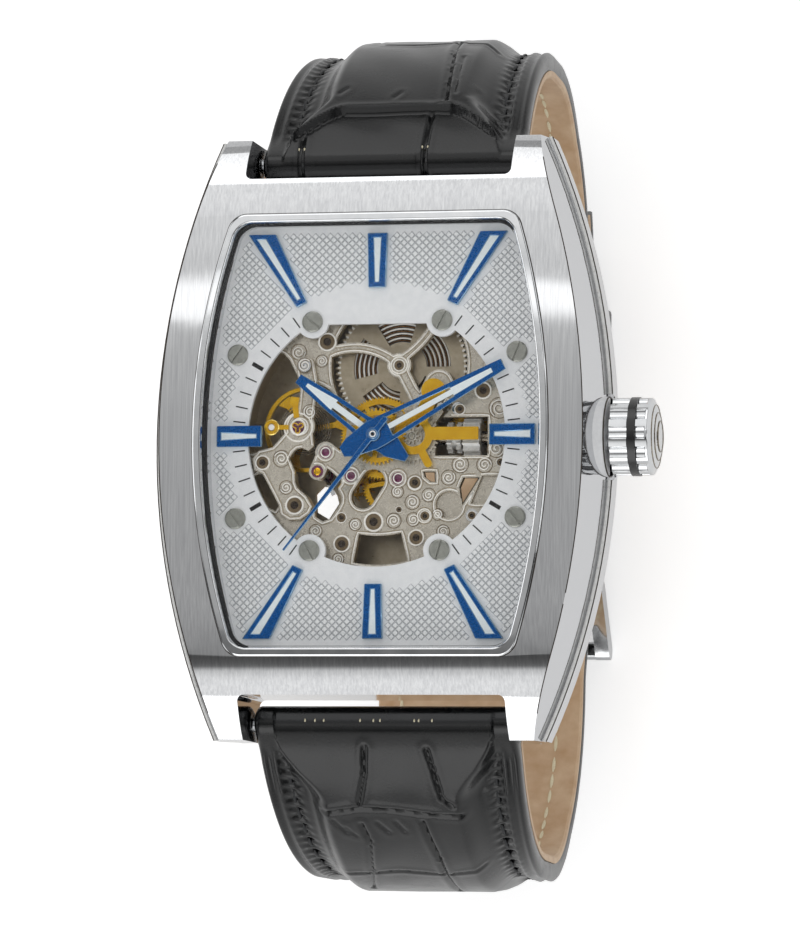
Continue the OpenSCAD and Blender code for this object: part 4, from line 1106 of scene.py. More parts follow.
def search_tree(mesh: bpy.types.Mesh, height: float = 1.0) -> BVHTree:
    """A search tree of a mesh in millimetres, with its heights kept, or pressed flat by 0."""
    points = [(v.co.x / MM, v.co.y / MM, v.co.z / MM * height) for v in mesh.vertices]
    return BVHTree.FromPolygons(points, [tuple(p.vertices) for p in mesh.polygons])


def bow(y: float, radius: float) -> float:
    """How far an arc of a radius has fallen back at a distance from its middle."""
    return radius - math.sqrt(radius * radius - y * y)


@dataclass
class Dial(Part):
    """The dial's surface: raised diamonds, minute ticks and slotted screws."""

    top: float = 7.9
    ring_outer: float = 13.35
    pitch: float = 0.67
    diamond_base: float = 0.332
    diamond_top: float = 0.215
    diamond_h: float = 0.085
    field_half: Point = (14.5, 18.05)
    side_r: float = 62.5
    marker_gap: float = 0.42
    tick: Point = (11.9, 13.0)
    tick_w: float = 0.11
    bar_w: float = 0.36
    print_t: float = 0.02
    bare: tuple[Point, ...] = ((336.0, 384.0), (156.0, 204.0))
    barred: tuple[int, ...] = (10, 20, 40, 50)
    screw_r: float = 0.93
    screw_z: float = 8.12
    screw_edge: Point = (0.14, 0.09)
    slot_w: float = 0.17
    inner_at: tuple[float, ...] = (11.71, 60.0, 120.0, 240.0, 300.0)
    outer_at: tuple[float, ...] = (14.55, 30.0, 150.0, 210.0, 330.0)
    slot_angles: tuple[float, ...] = (62.0, -38.0, 118.0, 75.0, 68.0, 55.0, 128.0, -52.0)

    def diamond(self) -> bpy.types.Mesh:
        """One raised diamond with a flat top."""
        levels = ((self.diamond_base, -0.01), (self.diamond_top, self.diamond_h))
        return mesh_from("diamond", *skin([[(x, y, z) for x, y in circle(r, 4)] for r, z in levels]))

    def field(self) -> list[Point3]:
        """The places of the diamonds: the dial round the minute ring, clear of markers and screws.

        Returns:
            The places.
        """
        blocks = [search_tree(self.frame.nodes[n].data, 0.0) for n in ("hour_markers", "dial_screws")]
        half_x, half_y = self.field_half
        places = []
        rows = int(half_y / self.pitch * 2) + 1
        columns = 30
        for row in range(-rows, rows + 1):
            y = row * self.pitch / 2
            limit = half_x - bow(y, self.side_r) if abs(y) <= half_y else 0.0
            for column in range(-columns, columns + 1):
                x = (column + (row % 2) / 2) * self.pitch
                if abs(x) > limit or math.hypot(x, y) < self.ring_outer + self.diamond_base:
                    continue
                if any(tree.find_nearest(Vector((x, y, 0.0)))[3] < self.marker_gap for tree in blocks):
                    continue
                places.append((x, y, self.top))
        return places

    def ticks(self) -> tuple[list[Point3], list[Point3], list[Point3]]:
        """The printed ticks and bars, with none where the dial stays bare.

        Returns:
            Their places, turns and sizes.
        """
        places, turns, sizes = [], [], []
        for minute in range(60):
            clock = 6.0 * minute
            covered = any(low <= c <= high for low, high in self.bare for c in (clock, clock + 360))
            hour = minute % 5 == 0
            if covered or (hour and minute not in self.barred):
                continue
            places.append((*polar(sum(self.tick) / 2, 90 - clock), self.top))
            turns.append((0.0, 0.0, math.radians(-clock)))
            sizes.append((self.bar_w / self.tick_w if hour else 1.0, 1.0, 1.0))
        return places, turns, sizes

    def screw(self) -> bpy.types.Mesh:
        """A slotted screw head with a bevelled rim, slot along x, its foot at the origin.

        Returns:
            The head's mesh.
        """
        r, h, steps = self.screw_r, self.screw_z - self.top, 20
        inset, drop = self.screw_edge
        sides = []
        for sign in (1, -1):
            rims = []
            for radius in (r, r - inset):
                start = math.asin(self.slot_w / 2 / radius)
                angles = [start + (math.pi - 2 * start) * i / steps for i in range(steps + 1)]
                rims.append([(radius * math.cos(a), sign * radius * math.sin(a)) for a in angles])
            levels = ((rims[0], 0.0), (rims[0], h - drop), (rims[1], h))
            sides.append(skin([[(x, y, z) for x, y in rim] for rim, z in levels]))
        sides.append(prism(circle(r - 0.02, 24), 0.0, h * 0.35))
        return mesh_from("screw_head", *joined(sides))

    def build(self) -> None:
        """Builds what stands on the dial."""
        silver = self.frame.beside("dial", "silver_relief")
        self.maker.copy("dial_diamonds", self.diamond(), self.field(), silver)
        spots = [(*polar(at[0], a), self.top) for at in (self.inner_at, self.outer_at) for a in at[1:]]
        turns = [(0.0, 0.0, math.radians(a)) for a in self.slot_angles]
        heads = self.frame.beside("dial_screws", "dial_screw_metal", ("dial_screws",))
        self.maker.copy("dial_screw_heads", self.screw(), spots, heads, turns)
        half_w, half_l = self.tick_w / 2, (self.tick[1] - self.tick[0]) / 2
        outline = [(-half_w, -half_l), (half_w, -half_l), (half_w, half_l), (-half_w, half_l)]
        stroke = mesh_from("stroke", *prism(outline, -0.01, self.print_t))
        places, turns, sizes = self.ticks()
        self.maker.copy("dial_ticks", stroke, places, self.frame.beside("dial", "black_print"), turns, sizes)


@dataclass
class Hands(Part):
    """Bevelled edges on hands and markers, and the second hand's pinned hub."""

    rounded: tuple[Rounding, ...] = (
        ("hour_markers", 0.075, 1, 40.0), ("hour_hand", 0.055, 1, 40.0), ("minute_hand", 0.055, 1, 40.0),
        ("second_hand", 0.055, 1, 40.0),
    )
    hub_z: float = 9.15
    ring: tuple[Point, ...] = ((0.18, -0.02), (0.20, 0.05), (0.28, 0.05), (0.31, -0.02))
    pin: tuple[Point, ...] = ((0.002, -0.02), (0.12, -0.02), (0.12, 0.02), (0.002, 0.02))

    def build(self) -> None:
        """Bevels the blued parts and adds the hub."""
        self.frame.refine_all(self.rounded)
        # A painted highlight ring round the hub, and a dark pin of painted shadow in its middle.
        for name, profile, steps, finish in (
            ("second_hub_ring", self.ring, 24, "painted_highlight_nickel"),
            ("second_hub_pin", self.pin, 16, "sunk_shadow"),
        ):
            shape = lathe([(r, self.hub_z + z) for r, z in profile], steps)
            self.frame.beside("second_hand", finish).make(name, shape)


@dataclass
class Movement(Part):
    """What is engraved, screwed and set on the movement: borders, curls, cups, stones and coils."""

    plate_z: float = 6.6
    cock_z: float = 7.1
    border: float = 0.19
    # How far in the dark line runs that paints a groove's shade.
    groove: float = 0.31
    bead_r: float = 0.065
    least_loop: float = 2.2
    kept_clear: tuple[Point3, ...] = ((0.0, 0.0, 3.0), (3.1, 0.0, 2.6))
    curls: tuple[Point3, ...] = (
        (-7.39, 7.63, 0.62), (-6.66, 6.35, 0.58), (-5.27, 6.8, 0.46), (-6.16, 2.23, 0.58),
        (-8.69, -1.91, 0.66), (-8.22, -4.46, 0.52), (10.8, 2.47, 0.83), (10.59, -1.1, 0.72),
        (7.37, -2.49, 0.66), (9.55, -2.53, 0.62), (6.33, -3.65, 0.58), (1.76, -4.87, 0.46),
        (3.11, -5.79, 0.58), (4.57, -5.18, 0.52), (1.45, -7.42, 0.58), (3.21, -7.32, 0.52),
        (-2.02, -7.73, 0.46), (-3.54, -10.79, 0.45), (-1.2, -9.3, 0.5), (5.9, -8.4, 0.5),
        (-5.6, -8.3, 0.5), (-5.9, 4.4, 0.45), (5.4, -6.9, 0.42),
    )
    cups: tuple[Point3, ...] = (
        (-4.75, 8.49, 0.85), (1.75, 6.35, 0.55), (9.39, 4.0, 0.78), (7.31, 2.37, 0.5),
        (-10.36, -2.26, 0.68), (-7.39, -6.06, 0.85), (-3.29, -7.12, 0.5), (-0.32, -7.53, 0.9),
        (3.32, -4.06, 0.64), (1.91, -6.44, 0.32), (4.25, -7.02, 0.5), (3.53, -8.95, 0.75),
        (-3.17, -9.46, 0.78), (8.51, -7.02, 0.42), (11.01, -2.32, 0.42),
    )
    stones: tuple[Point3, ...] = ((-4.81, -1.32, 0.46), (-2.46, -3.42, 0.46), (1.8, -3.67, 0.46))
    warm_stone: Point3 = (-5.54, -3.01, 0.42)
    shock: Point = (-7.22, 0.88)
    stud: Point = (-9.61, 0.88)
    barrel: Point = (1.75, 6.35)
    coil_pitch: float = 0.42
    coil_reach: Point = (1.7, 5.3)
    coil_steps: int = 60
    tooth_ring: float = 5.78
    teeth: int = 76
    feel: float = 0.38
    under_dial: float = 7.38
    sample_step: float = 0.12
    track_step: float = 0.35
    curl_floor: float = 6.5

    def surface(self, names: Sequence[str]) -> Callable[[float, float], float | None]:
        """A function that tells how high the named nodes stand at a place in plan.

        Args:
            names: The nodes.

        Returns:
            The function.
        """
        trees = [search_tree(self.frame.nodes[name].data) for name in names]
        beside = ((0.0, 0.0), (self.feel, 0.0), (-self.feel, 0.0), (0.0, self.feel), (0.0, -self.feel))

        def height(x: float, y: float) -> float | None:
            """The highest hit under the dial at a place and close round it.

            Args:
                x: The place across.
                y: The place upwards.

            Returns:
                The height, or nothing where no node is hit.
            """
            starts = [Vector((x + a, y + b, self.under_dial)) for a, b in beside]
            hits = (tree.ray_cast(start, Vector((0.0, 0.0, -1.0)))[0] for tree in trees for start in starts)
            return max((hit.z for hit in hits if hit is not None), default=None)

        return height

    def stand(
        self, names: Sequence[str], rounds: Iterable[Point3], least: float
    ) -> tuple[list[Point3], list[Point3]]:
        """Stands round pieces on the named nodes.

        Args:
            names: The nodes.
            rounds: Place in plan and radius of each piece.
            least: The height that a node must have there.

        Returns:
            Places and sizes of those that find a node.
        """
        top = self.surface(names)
        found = [(x, y, r, top(x, y)) for x, y, r in rounds]
        found = [spot for spot in found if spot[3] is not None and spot[3] > least]
        return [(x, y, z) for x, y, _, z in found], [(r, r, 1.0) for _, _, r, _ in found]

    def rims(self, name: str, level: float, offset: float) -> list[list[Point3]]:
        """Lines that follow the edges of a node's flat top, a little inside them.

        Args:
            name: The node.
            level: The height of its top.
            offset: How far inside the edge the lines run.

        Returns:
            The lines.
        """
        work = bmesh.new()
        work.from_mesh(self.frame.merged(name))
        inward: dict[int, Vector] = {}
        places: dict[int, Vector] = {}
        walls: dict[tuple[int, int], Vector] = {}
        for edge in work.edges:
            if len(edge.link_faces) != 2 or any(abs(v.co.z / MM - level) > 0.004 for v in edge.verts):
                continue
            first, second = sorted(edge.link_faces, key=lambda f: -f.normal.z)
            if first.normal.z < 0.9 or abs(second.normal.z) > 0.5:
                continue
            a, b = (v.index for v in edge.verts)
            flat = Vector((-second.normal.x, -second.normal.y, 0.0)).normalized()
            walls[(a, b)] = walls[(b, a)] = flat
            for v in edge.verts:
                places[v.index] = v.co / MM
                inward[v.index] = inward.get(v.index, Vector()) + flat
        work.free()
        pairs = [pair for pair in walls if pair[0] < pair[1]]
        samples = []
        for a, b in pairs:
            steps = max(1, int((places[a] - places[b]).length / self.sample_step))
            samples += [places[a].lerp(places[b], i / steps) for i in range(steps + 1)]
        tree = KDTree(len(samples))
        for i, point in enumerate(samples):
            tree.insert(Vector((point.x, point.y, 0.0)), i)
        tree.balance()
        tracks = [self.track(loop, places, inward, walls, offset) for loop in chains(pairs)]
        return [run for track in tracks for run in self.clear_runs(track, tree, level, offset)]

    def track(
        self, loop: list[int], places: dict[int, Vector], inward: dict[int, Vector],
        walls: dict[tuple[int, int], Vector], offset: float,
    ) -> list[Vector]:
        """One loop of edges, moved inwards.

        Args:
            loop: The corner numbers.
            places: Where each corner is.
            inward: The way in at each corner.
            walls: The way in at each edge.
            offset: How far it moves.

        Returns:
            The moved points, none if the loop is short.
        """
        if sum((places[a] - places[b]).length for a, b in zip(loop, loop[1:])) < self.least_loop:
            return []
        track = []
        for a, b in zip(loop, loop[1:] + loop[:1]):
            if (a, b) in walls:
                track.append(places[a] + inward[a].normalized() * offset)
                steps = int((places[b] - places[a]).length / self.track_step)
                shift = walls[(a, b)] * offset
                track += [places[a].lerp(places[b], i / steps) + shift for i in range(1, steps)]
        return track

    def clear_runs(
        self, track: list[Vector], tree: KDTree, level: float, offset: float
    ) -> list[list[Point3]]:
        """The runs of a track that stay clear of every edge and of the motion work.

        Args:
            track: The moved points.
            tree: Points along every edge.
            level: The height of the runs.
            offset: How far from an edge they should be.

        Returns:
            The runs.
        """
        runs: list[list[Point3]] = [[]]
        for point in track + track[:1]:
            clear = tree.find(Vector((point.x, point.y, 0.0)))[2] > 0.86 * offset
            if clear and all(math.hypot(point.x - x, point.y - y) > r for x, y, r in self.kept_clear):
                runs[-1].append((point.x, point.y, level))
            elif runs[-1]:
                runs.append([])
        return [run for run in runs if len(run) > 2]

    def curl(self, x: float, y: float, r: float, z: float, index: int) -> list[Point3]:
        """A spiral line that winds in to a point.

        Args:
            x: Its centre across.
            y: Its centre upwards.
            r: Its outer radius.
            z: Its height.
            index: Its number, which gives the way it turns and where it starts.

        Returns:
            The line.
        """
        way = 1 if index % 2 else -1
        steps = 34
        line = []
        for i in range(steps + 1):
            reach, a = r * (1 - 0.85 * i / steps), math.radians(40 * index) + way * 0.36 * i
            line.append((x + reach * math.cos(a), y + reach * math.sin(a), z))
        return line

    def engrave(self) -> None:
        """Borders and curls in relief, drawn in painted highlight with lines of painted shade beside them."""
        top = self.surface(("main_plate", "balance_cock", "movement_screws"))
        fine = self.bead_r * 0.6
        for name, level in (("main_plate", self.plate_z), ("balance_cock", self.cock_z)):
            # A painted-highlight line along each plate edge, and a darker line further in that paints shade.
            for kind, offset, radius, finish in (
                ("border", self.border, self.bead_r, "painted_highlight_nickel"),
                ("groove", self.groove, fine, "nickel_deep"),
            ):
                lines = self.rims(name, level, offset)
                self.maker.bead(f"{name}_{kind}", lines, radius, self.frame.beside(name, finish))
        curls, shades = [], []
        for index, (x, y, r) in enumerate(self.curls):
            z = top(x, y)
            if z is not None and z > self.curl_floor:
                curls.append(self.curl(x, y, r, z + 0.01, index))
                shades.append(self.curl(x, y, r * 0.84, z, index))
                shades.append([(*corner, z) for corner in circle(r + 0.09, 24, (x, y), True)])
        # The curls are painted highlight; their shade lines and rings are painted shade.
        self.maker.bead("engraved_curls", curls, self.bead_r, Piece("case", "nickel", "painted_highlight_nickel"))
        self.maker.bead("engraved_shades", shades, fine, Piece("case", "nickel", "painted_shade_brown"))

    def sink(self) -> None:
        """Rimmed cups over screws and in bare metal: a rim in painted highlight, a dish in painted shade, and
        a pin in painted shadow.
        """
        names = ("main_plate", "balance_cock", "movement_screws", "barrel_arbor")
        places, sizes = self.stand(names, self.cups, 6.4)
        ring = ((0.80, -0.28), (1.0, -0.28), (1.0, 0.02), (0.95, 0.08), (0.87, 0.08), (0.80, 0.02))
        dish = ((0.002, -0.1), (0.81, -0.1), (0.81, 0.015), (0.002, 0.015))
        pin = ((0.002, 0.0), (0.42, 0.0), (0.42, 0.045), (0.30, 0.07), (0.18, 0.03), (0.002, 0.03))
        # Rims in painted highlight, dishes in painted shade, pins in painted shadow.
        for name, profile, steps, finish in (
            ("cup_rings", ring, 28, "painted_highlight_nickel"), ("cup_dishes", dish, 24, "painted_shade_brown"),
            ("cup_pins", pin, 20, "sunk_shadow"),
        ):
            template = mesh_from(name, *lathe(profile, steps))
            self.maker.copy(name, template, places, Piece("case", "nickel", finish), sizes=sizes)

    def set_stones(self) -> None:
        """Domed stones in settings."""
        names = ("main_plate", "balance_cock", "jewels")
        dome = ((0.002, -0.05), (0.80, -0.05), (0.80, 0.0), (0.62, 0.05), (0.30, 0.075), (0.002, 0.08))
        stone = lathe(dome, 24)
        collar = lathe([(0.78, -0.15), (1.05, -0.15), (1.05, 0.02), (0.96, 0.06), (0.80, 0.04)], 24)
        all_stones = self.stones + ((*self.shock, 0.72),)
        # The stones' collars are painted highlight.
        for name, shape, slot, finish, rounds in (
            ("stones", stone, "ruby", "ruby", all_stones),
            ("stone_collars", collar, "ruby", "painted_highlight_nickel", all_stones),
            ("warm_stone", stone, "gilt", "gilt", (self.warm_stone,)),
        ):
            places, sizes = self.stand(names, rounds, 6.3 if slot == "ruby" else 0.0)
            self.maker.copy(name, mesh_from(name, *shape), places, Piece("case", slot, finish), sizes=sizes)

    def regulate(self) -> None:
        """The shock spring with its boss, and the regulator's two arms."""
        (x, y), z, gilt = self.shock, self.cock_z, Piece("case", "gilt", "gilt")
        lyre = []
        for i in range(49):
            a = 2 * math.pi * i / 48
            reach = 0.36 + 0.17 * math.cos(3 * a)
            lyre.append((x + reach * math.cos(a + 0.5), y + reach * math.sin(a + 0.5), z + 0.1))
        self.maker.bead("shock_spring", [lyre], 0.065, gilt)
        # The boss round the shock spring is a painted highlight ring.
        boss = [(*corner, z) for corner in circle(1.25, 48, self.shock, True)]
        self.maker.bead("shock_boss", [boss], 0.08, Piece("case", "nickel", "painted_highlight_nickel"))
        shapes = []
        for (end_x, end_y), width in ((self.stud, 0.42), ((-7.55, 3.15), 0.5)):
            a = math.atan2(end_y - y, end_x - x)
            side_x, side_y = -math.sin(a) * width / 2, math.cos(a) * width / 2
            near_x, near_y = x + 0.85 * math.cos(a), y + 0.85 * math.sin(a)
            outline = [
                (near_x + side_x, near_y + side_y), (near_x - side_x, near_y - side_y),
                (end_x - side_x, end_y - side_y), (end_x + side_x, end_y + side_y),
            ]
            shapes.append(prism(outline, z, z + 0.12))
        ring = ((0.28, -0.1), (0.70, -0.1), (0.70, 0.14), (0.62, 0.2), (0.36, 0.2))
        shapes.append(lathe([(r, z + h) for r, h in ring], 28, self.stud))
        shapes.append(prism([(-7.95, 2.8), (-7.2, 2.7), (-7.1, 3.5), (-7.85, 3.6)], z - 0.1, z + 0.22))
        gilt.make("regulator_arms", joined(shapes))
        # The stud's top is a painted highlight.
        stud = ((0.002, -0.1), (0.27, -0.1), (0.27, 0.16), (0.002, 0.16))
        shape = lathe([(r, z + h) for r, h in stud], 20, self.stud)
        Piece("case", "polished_steel", "painted_highlight_nickel").make("regulator_stud", shape)

    def wind(self) -> None:
        """The mainspring's coils, with a painted highlight stripe and a painted shadow stripe, and the pale
        teeth round the barrel, which are painted highlight.
        """
        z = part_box("mainspring")[1][2] / MM + 0.01
        x, y = self.barrel
        low, high = self.coil_reach
        steps = int((high - low) / self.coil_pitch * self.coil_steps)
        # Stripes of painted highlight and painted shadow along the coils, with a brown one between.
        for name, shift, radius, finish in (
            ("coil_bright", 0.0, 0.105, "painted_highlight_nickel"), ("coil_brown", 0.5, 0.07, "spring_brown"),
            ("coil_dark", 0.28, 0.04, "sunk_shadow"),
        ):
            line = []
            for i in range(steps + 1):
                a = 2 * math.pi * i / self.coil_steps
                r = low + self.coil_pitch * (shift + i / self.coil_steps)
                line.append((x + r * math.cos(a), y + r * math.sin(a), z))
            self.maker.bead(name, [line], radius, self.frame.beside("mainspring", finish), sides=5)
        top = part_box("barrel_drum")[1][2] / MM
        outline = [(-0.2, -0.11), (0.08, -0.07), (0.08, 0.07), (-0.2, 0.11)]
        tooth = mesh_from("tooth", *prism(outline, -0.02, 0.025))
        places = [(*corner, top) for corner in circle(self.tooth_ring, self.teeth, self.barrel)]
        turns = [(0.0, 0.0, 2 * math.pi * i / self.teeth) for i in range(self.teeth)]
        # The pale tooth caps are painted highlight.
        piece = self.frame.beside("barrel_drum", "painted_highlight_nickel")
        self.maker.copy("barrel_tooth_caps", tooth, places, piece, turns)

    def build(self) -> None:
        """Builds all that is set on the movement."""
        self.engrave()
        self.sink()
        self.set_stones()
        self.regulate()
        self.wind()


@dataclass
class Fittings(Part):
    """Crown seat, buckle and keepers."""

    seat_x: float = 19.3
    seat_l: float = 1.1
    seat_r: Point3 = (1.45, 3.75, 3.5)
    seat_line_r: float = 0.07
    cap_lines: tuple[Point, ...] = ((0.82, -0.35), (0.62, -0.17), (0.4, 0.0))
    cap_line_r: float = 0.05
    stem_z: float = 5.0
    rounded: tuple[Rounding, ...] = (
        ("buckle_frame", 0.22, 3, 30.0), ("buckle_tongue", 0.15, 2, 30.0),
        ("keeper_fixed", 0.42, 4, 30.0), ("keeper_free", 0.42, 4, 30.0),
    )

    def ring(self, x: float, radius: float, steps: int) -> list[Point3]:
        """A closed line round the stem's axis."""
        return [(x, *corner) for corner in circle(radius, steps, (0.0, self.stem_z), True)]

    def build(self) -> None:
        """Rounds the fittings, seats the crown and rings its cap."""
        self.frame.refine_all(self.rounded)
        bore, foot, rim = self.seat_r
        upright, faces = lathe([(bore, 0.0), (foot, 0.0), (rim, self.seat_l), (bore, self.seat_l)], 64)
        points = [(self.seat_x + z, x, self.stem_z + y) for x, y, z in upright]
        Piece("case", "brushed_case", "seat_grey").make("crown_seat", (points, faces))
        edge = self.ring(self.seat_x + self.seat_l, rim, 64)
        # A painted shadow line round the seat's outer edge.
        self.maker.bead("seat_line", [edge], self.seat_line_r, Piece("case", "brushed_case", "sunk_shadow"))
        low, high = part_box("crown")
        radius, end = (high[1] - low[1]) / 2 / MM, high[0] / MM
        rings = [self.ring(end + x, share * radius, 48) for share, x in self.cap_lines]
        self.maker.bead("crown_lines", rings, self.cap_line_r, self.frame.beside("crown", "dark_steel"))


@dataclass
class Studio:
    """Pale floor, world and lamps."""

    floor_drop: float = 0.05
    floor_half: float = 3000.0
    surround: float = 0.66
    floor_glow: float = 0.5
    mirrored_glow: float = 0.3
    lamps: tuple[tuple[str, Point3, Point, float], ...] = (
        ("upper_strip", (-139, 584, 271), (440, 380), 0.85),
        ("lower_strip", (-134, -557, 288), (440, 440), 1.25),
        ("right_softbox", (560, -40, 300), (160, 360), 1.2),
        ("left_softbox", (-600, 60, 240), (160, 360), 1.2),
    )
    mirror_gain: float = 1.6
    by_height: tuple[Point, ...] = (
        (0.0, 0.42), (0.10, 0.60), (0.175, 0.66), (0.25, 0.68), (0.29, 0.62), (0.33, 0.46),
        (0.355, 0.12), (0.375, 0.085), (0.41, 0.06), (0.431, 0.055), (0.436, 0.10), (0.441, 0.24),
        (0.46, 0.29), (0.50, 0.30), (0.56, 0.33), (0.595, 0.38), (0.612, 0.42), (0.619, 1.0),
        (0.634, 1.0), (0.639, 0.49), (0.65, 0.53), (0.67, 0.62), (0.80, 0.68), (0.90, 0.66),
        (0.96, 0.45), (1.0, 0.2),
    )
    by_side: tuple[Point, ...] = (
        (0.0, 1.0), (0.42, 1.0), (0.50, 0.10), (0.66, 0.10), (0.76, 1.0), (1.0, 1.0),
    )

    floor_grey: Colour = (0.86, 0.86, 0.86, 1.0)
    floor_gloss: float = 0.9

    def build(self, lowest: float) -> None:
        """Builds the floor under the watch, the world and the lamps.

        Args:
            lowest: The lowest point of the watch in millimetres.
        """
        bpy.context.scene.view_settings.view_transform = "Standard"
        self.world()
        self.floor(lowest - self.floor_drop)
        for lamp in self.lamps:
            self.lamp(*lamp)

    @staticmethod
    def ramp(net: Net, value: bpy.types.NodeSocket, stops: Sequence[Point]) -> bpy.types.NodeSocket:
        """A grey level that follows stops.

        Args:
            net: The tree.
            value: The socket that gives the position.
            stops: Position and level of each.

        Returns:
            The level's socket.
        """
        node = net.add("ShaderNodeValToRGB", {"Fac": value})
        elements = node.color_ramp.elements
        elements[0].position, elements[1].position = stops[0][0], stops[-1][0]
        for position, _ in stops[1:-1]:
            elements.new(position)
        for element, (_, level) in zip(elements, stops):
            element.color = (level, level, level, 1.0)
        return node.outputs["Color"]

    def world(self) -> None:
        """A plain bright surround, with darker bands that polished metal shows, and white for the camera."""
        world = bpy.data.worlds.new("surround")
        bpy.context.scene.world = world
        world.use_nodes = True
        net = Net(world.node_tree)
        net.tree.nodes.clear()
        place = net.add("ShaderNodeTexCoord").outputs["Generated"]
        split = net.add("ShaderNodeSeparateXYZ", {"Vector": place}).outputs
        height = net.add("ShaderNodeMapRange", {"Value": split["Y"], "From Min": -1.0}).outputs["Result"]
        rows = self.ramp(net, height, self.by_height)
        columns = self.ramp(net, net.math("ABSOLUTE", split["X"]), self.by_side)
        inputs = {"Factor": 1.0, "A": rows, "B": columns}
        bands = net.add("ShaderNodeMix", inputs, data_type="RGBA", blend_type="MULTIPLY").outputs["Result"]
        gain = net.add("ShaderNodeVectorMath", {0: bands, "Scale": self.mirror_gain}, operation="SCALE")
        path = net.add("ShaderNodeLightPath").outputs
        plain = (self.surround, self.surround, self.surround, 1.0)
        mirrored = net.blend(path["Is Glossy Ray"], plain, gain.outputs["Vector"])
        ground = net.add("ShaderNodeBackground", {"Color": net.blend(path["Is Camera Ray"], mirrored, WHITE)})
        net.add("ShaderNodeOutputWorld", {"Surface": ground.outputs["Background"]})

    def floor(self, height: float) -> None:
        """A white floor that keeps the watch's shadow.

        Args:
            height: Its height in millimetres.
        """
        half = self.floor_half
        mesh = bpy.data.meshes.new("floor")
        corners = [(-half, -half), (half, -half), (half, half), (-half, half)]
        mesh.from_pydata([(x * MM, y * MM, height * MM) for x, y in corners], [], [(0, 1, 2, 3)])
        floor = in_scene("floor", mesh)
        shader = Shader("floor_white")
        path = shader.add("ShaderNodeLightPath").outputs
        faint = shader.math("MULTIPLY", path["Is Glossy Ray"], self.mirrored_glow)
        seen = shader.math("MAXIMUM", path["Is Camera Ray"], faint)
        either = shader.math("MAXIMUM", seen, path["Is Transmission Ray"])
        shader.feed(shader.surface, {
            "Base Color": self.floor_grey, "Roughness": self.floor_gloss, "Specular IOR Level": 0.0,
            "Emission Color": WHITE, "Emission Strength": shader.math("MULTIPLY", either, self.floor_glow),
        })
        floor.data.materials.append(shader.material)
        floor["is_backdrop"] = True

    def lamp(self, name: str, at: Point3, size: Point, strength: float) -> None:
        """An area lamp that faces the watch.

        Args:
            name: The lamp's name.
            at: Its place in millimetres.
            size: Its width and height.
            strength: Its radiance in units of a white surface.
        """
        data = bpy.data.lights.new(name, "AREA")
        data.shape = "RECTANGLE"
        data.size, data.size_y = size[0] * MM, size[1] * MM
        data.energy = strength * math.pi * data.size * data.size_y
        place = Vector(at) * MM
        turn = place.to_track_quat("Z", "Y").to_matrix().to_4x4()
        in_scene(name, data).matrix_world = Matrix.Translation(place) @ turn


@dataclass
class Station:
    """A place along the strap: a point, the way out of the loop, and the strap's two faces from there."""

    y: float
    z: float
    out_y: float
    out_z: float
    inner: float
    outer: float
    along: float = 0.0
    thickness: float = 2.4

    def at(self, x: float, height: float) -> Point3:
        """The point at a place across the strap, and a height out from its middle line."""
        return x, self.y + self.out_y * height, self.z + self.out_z * height

    def lean(self) -> Point3:
        """The angles that lay a stitch along the strap."""
        return math.atan2(self.out_z, self.out_y) - math.pi / 2, 0.0, 0.0


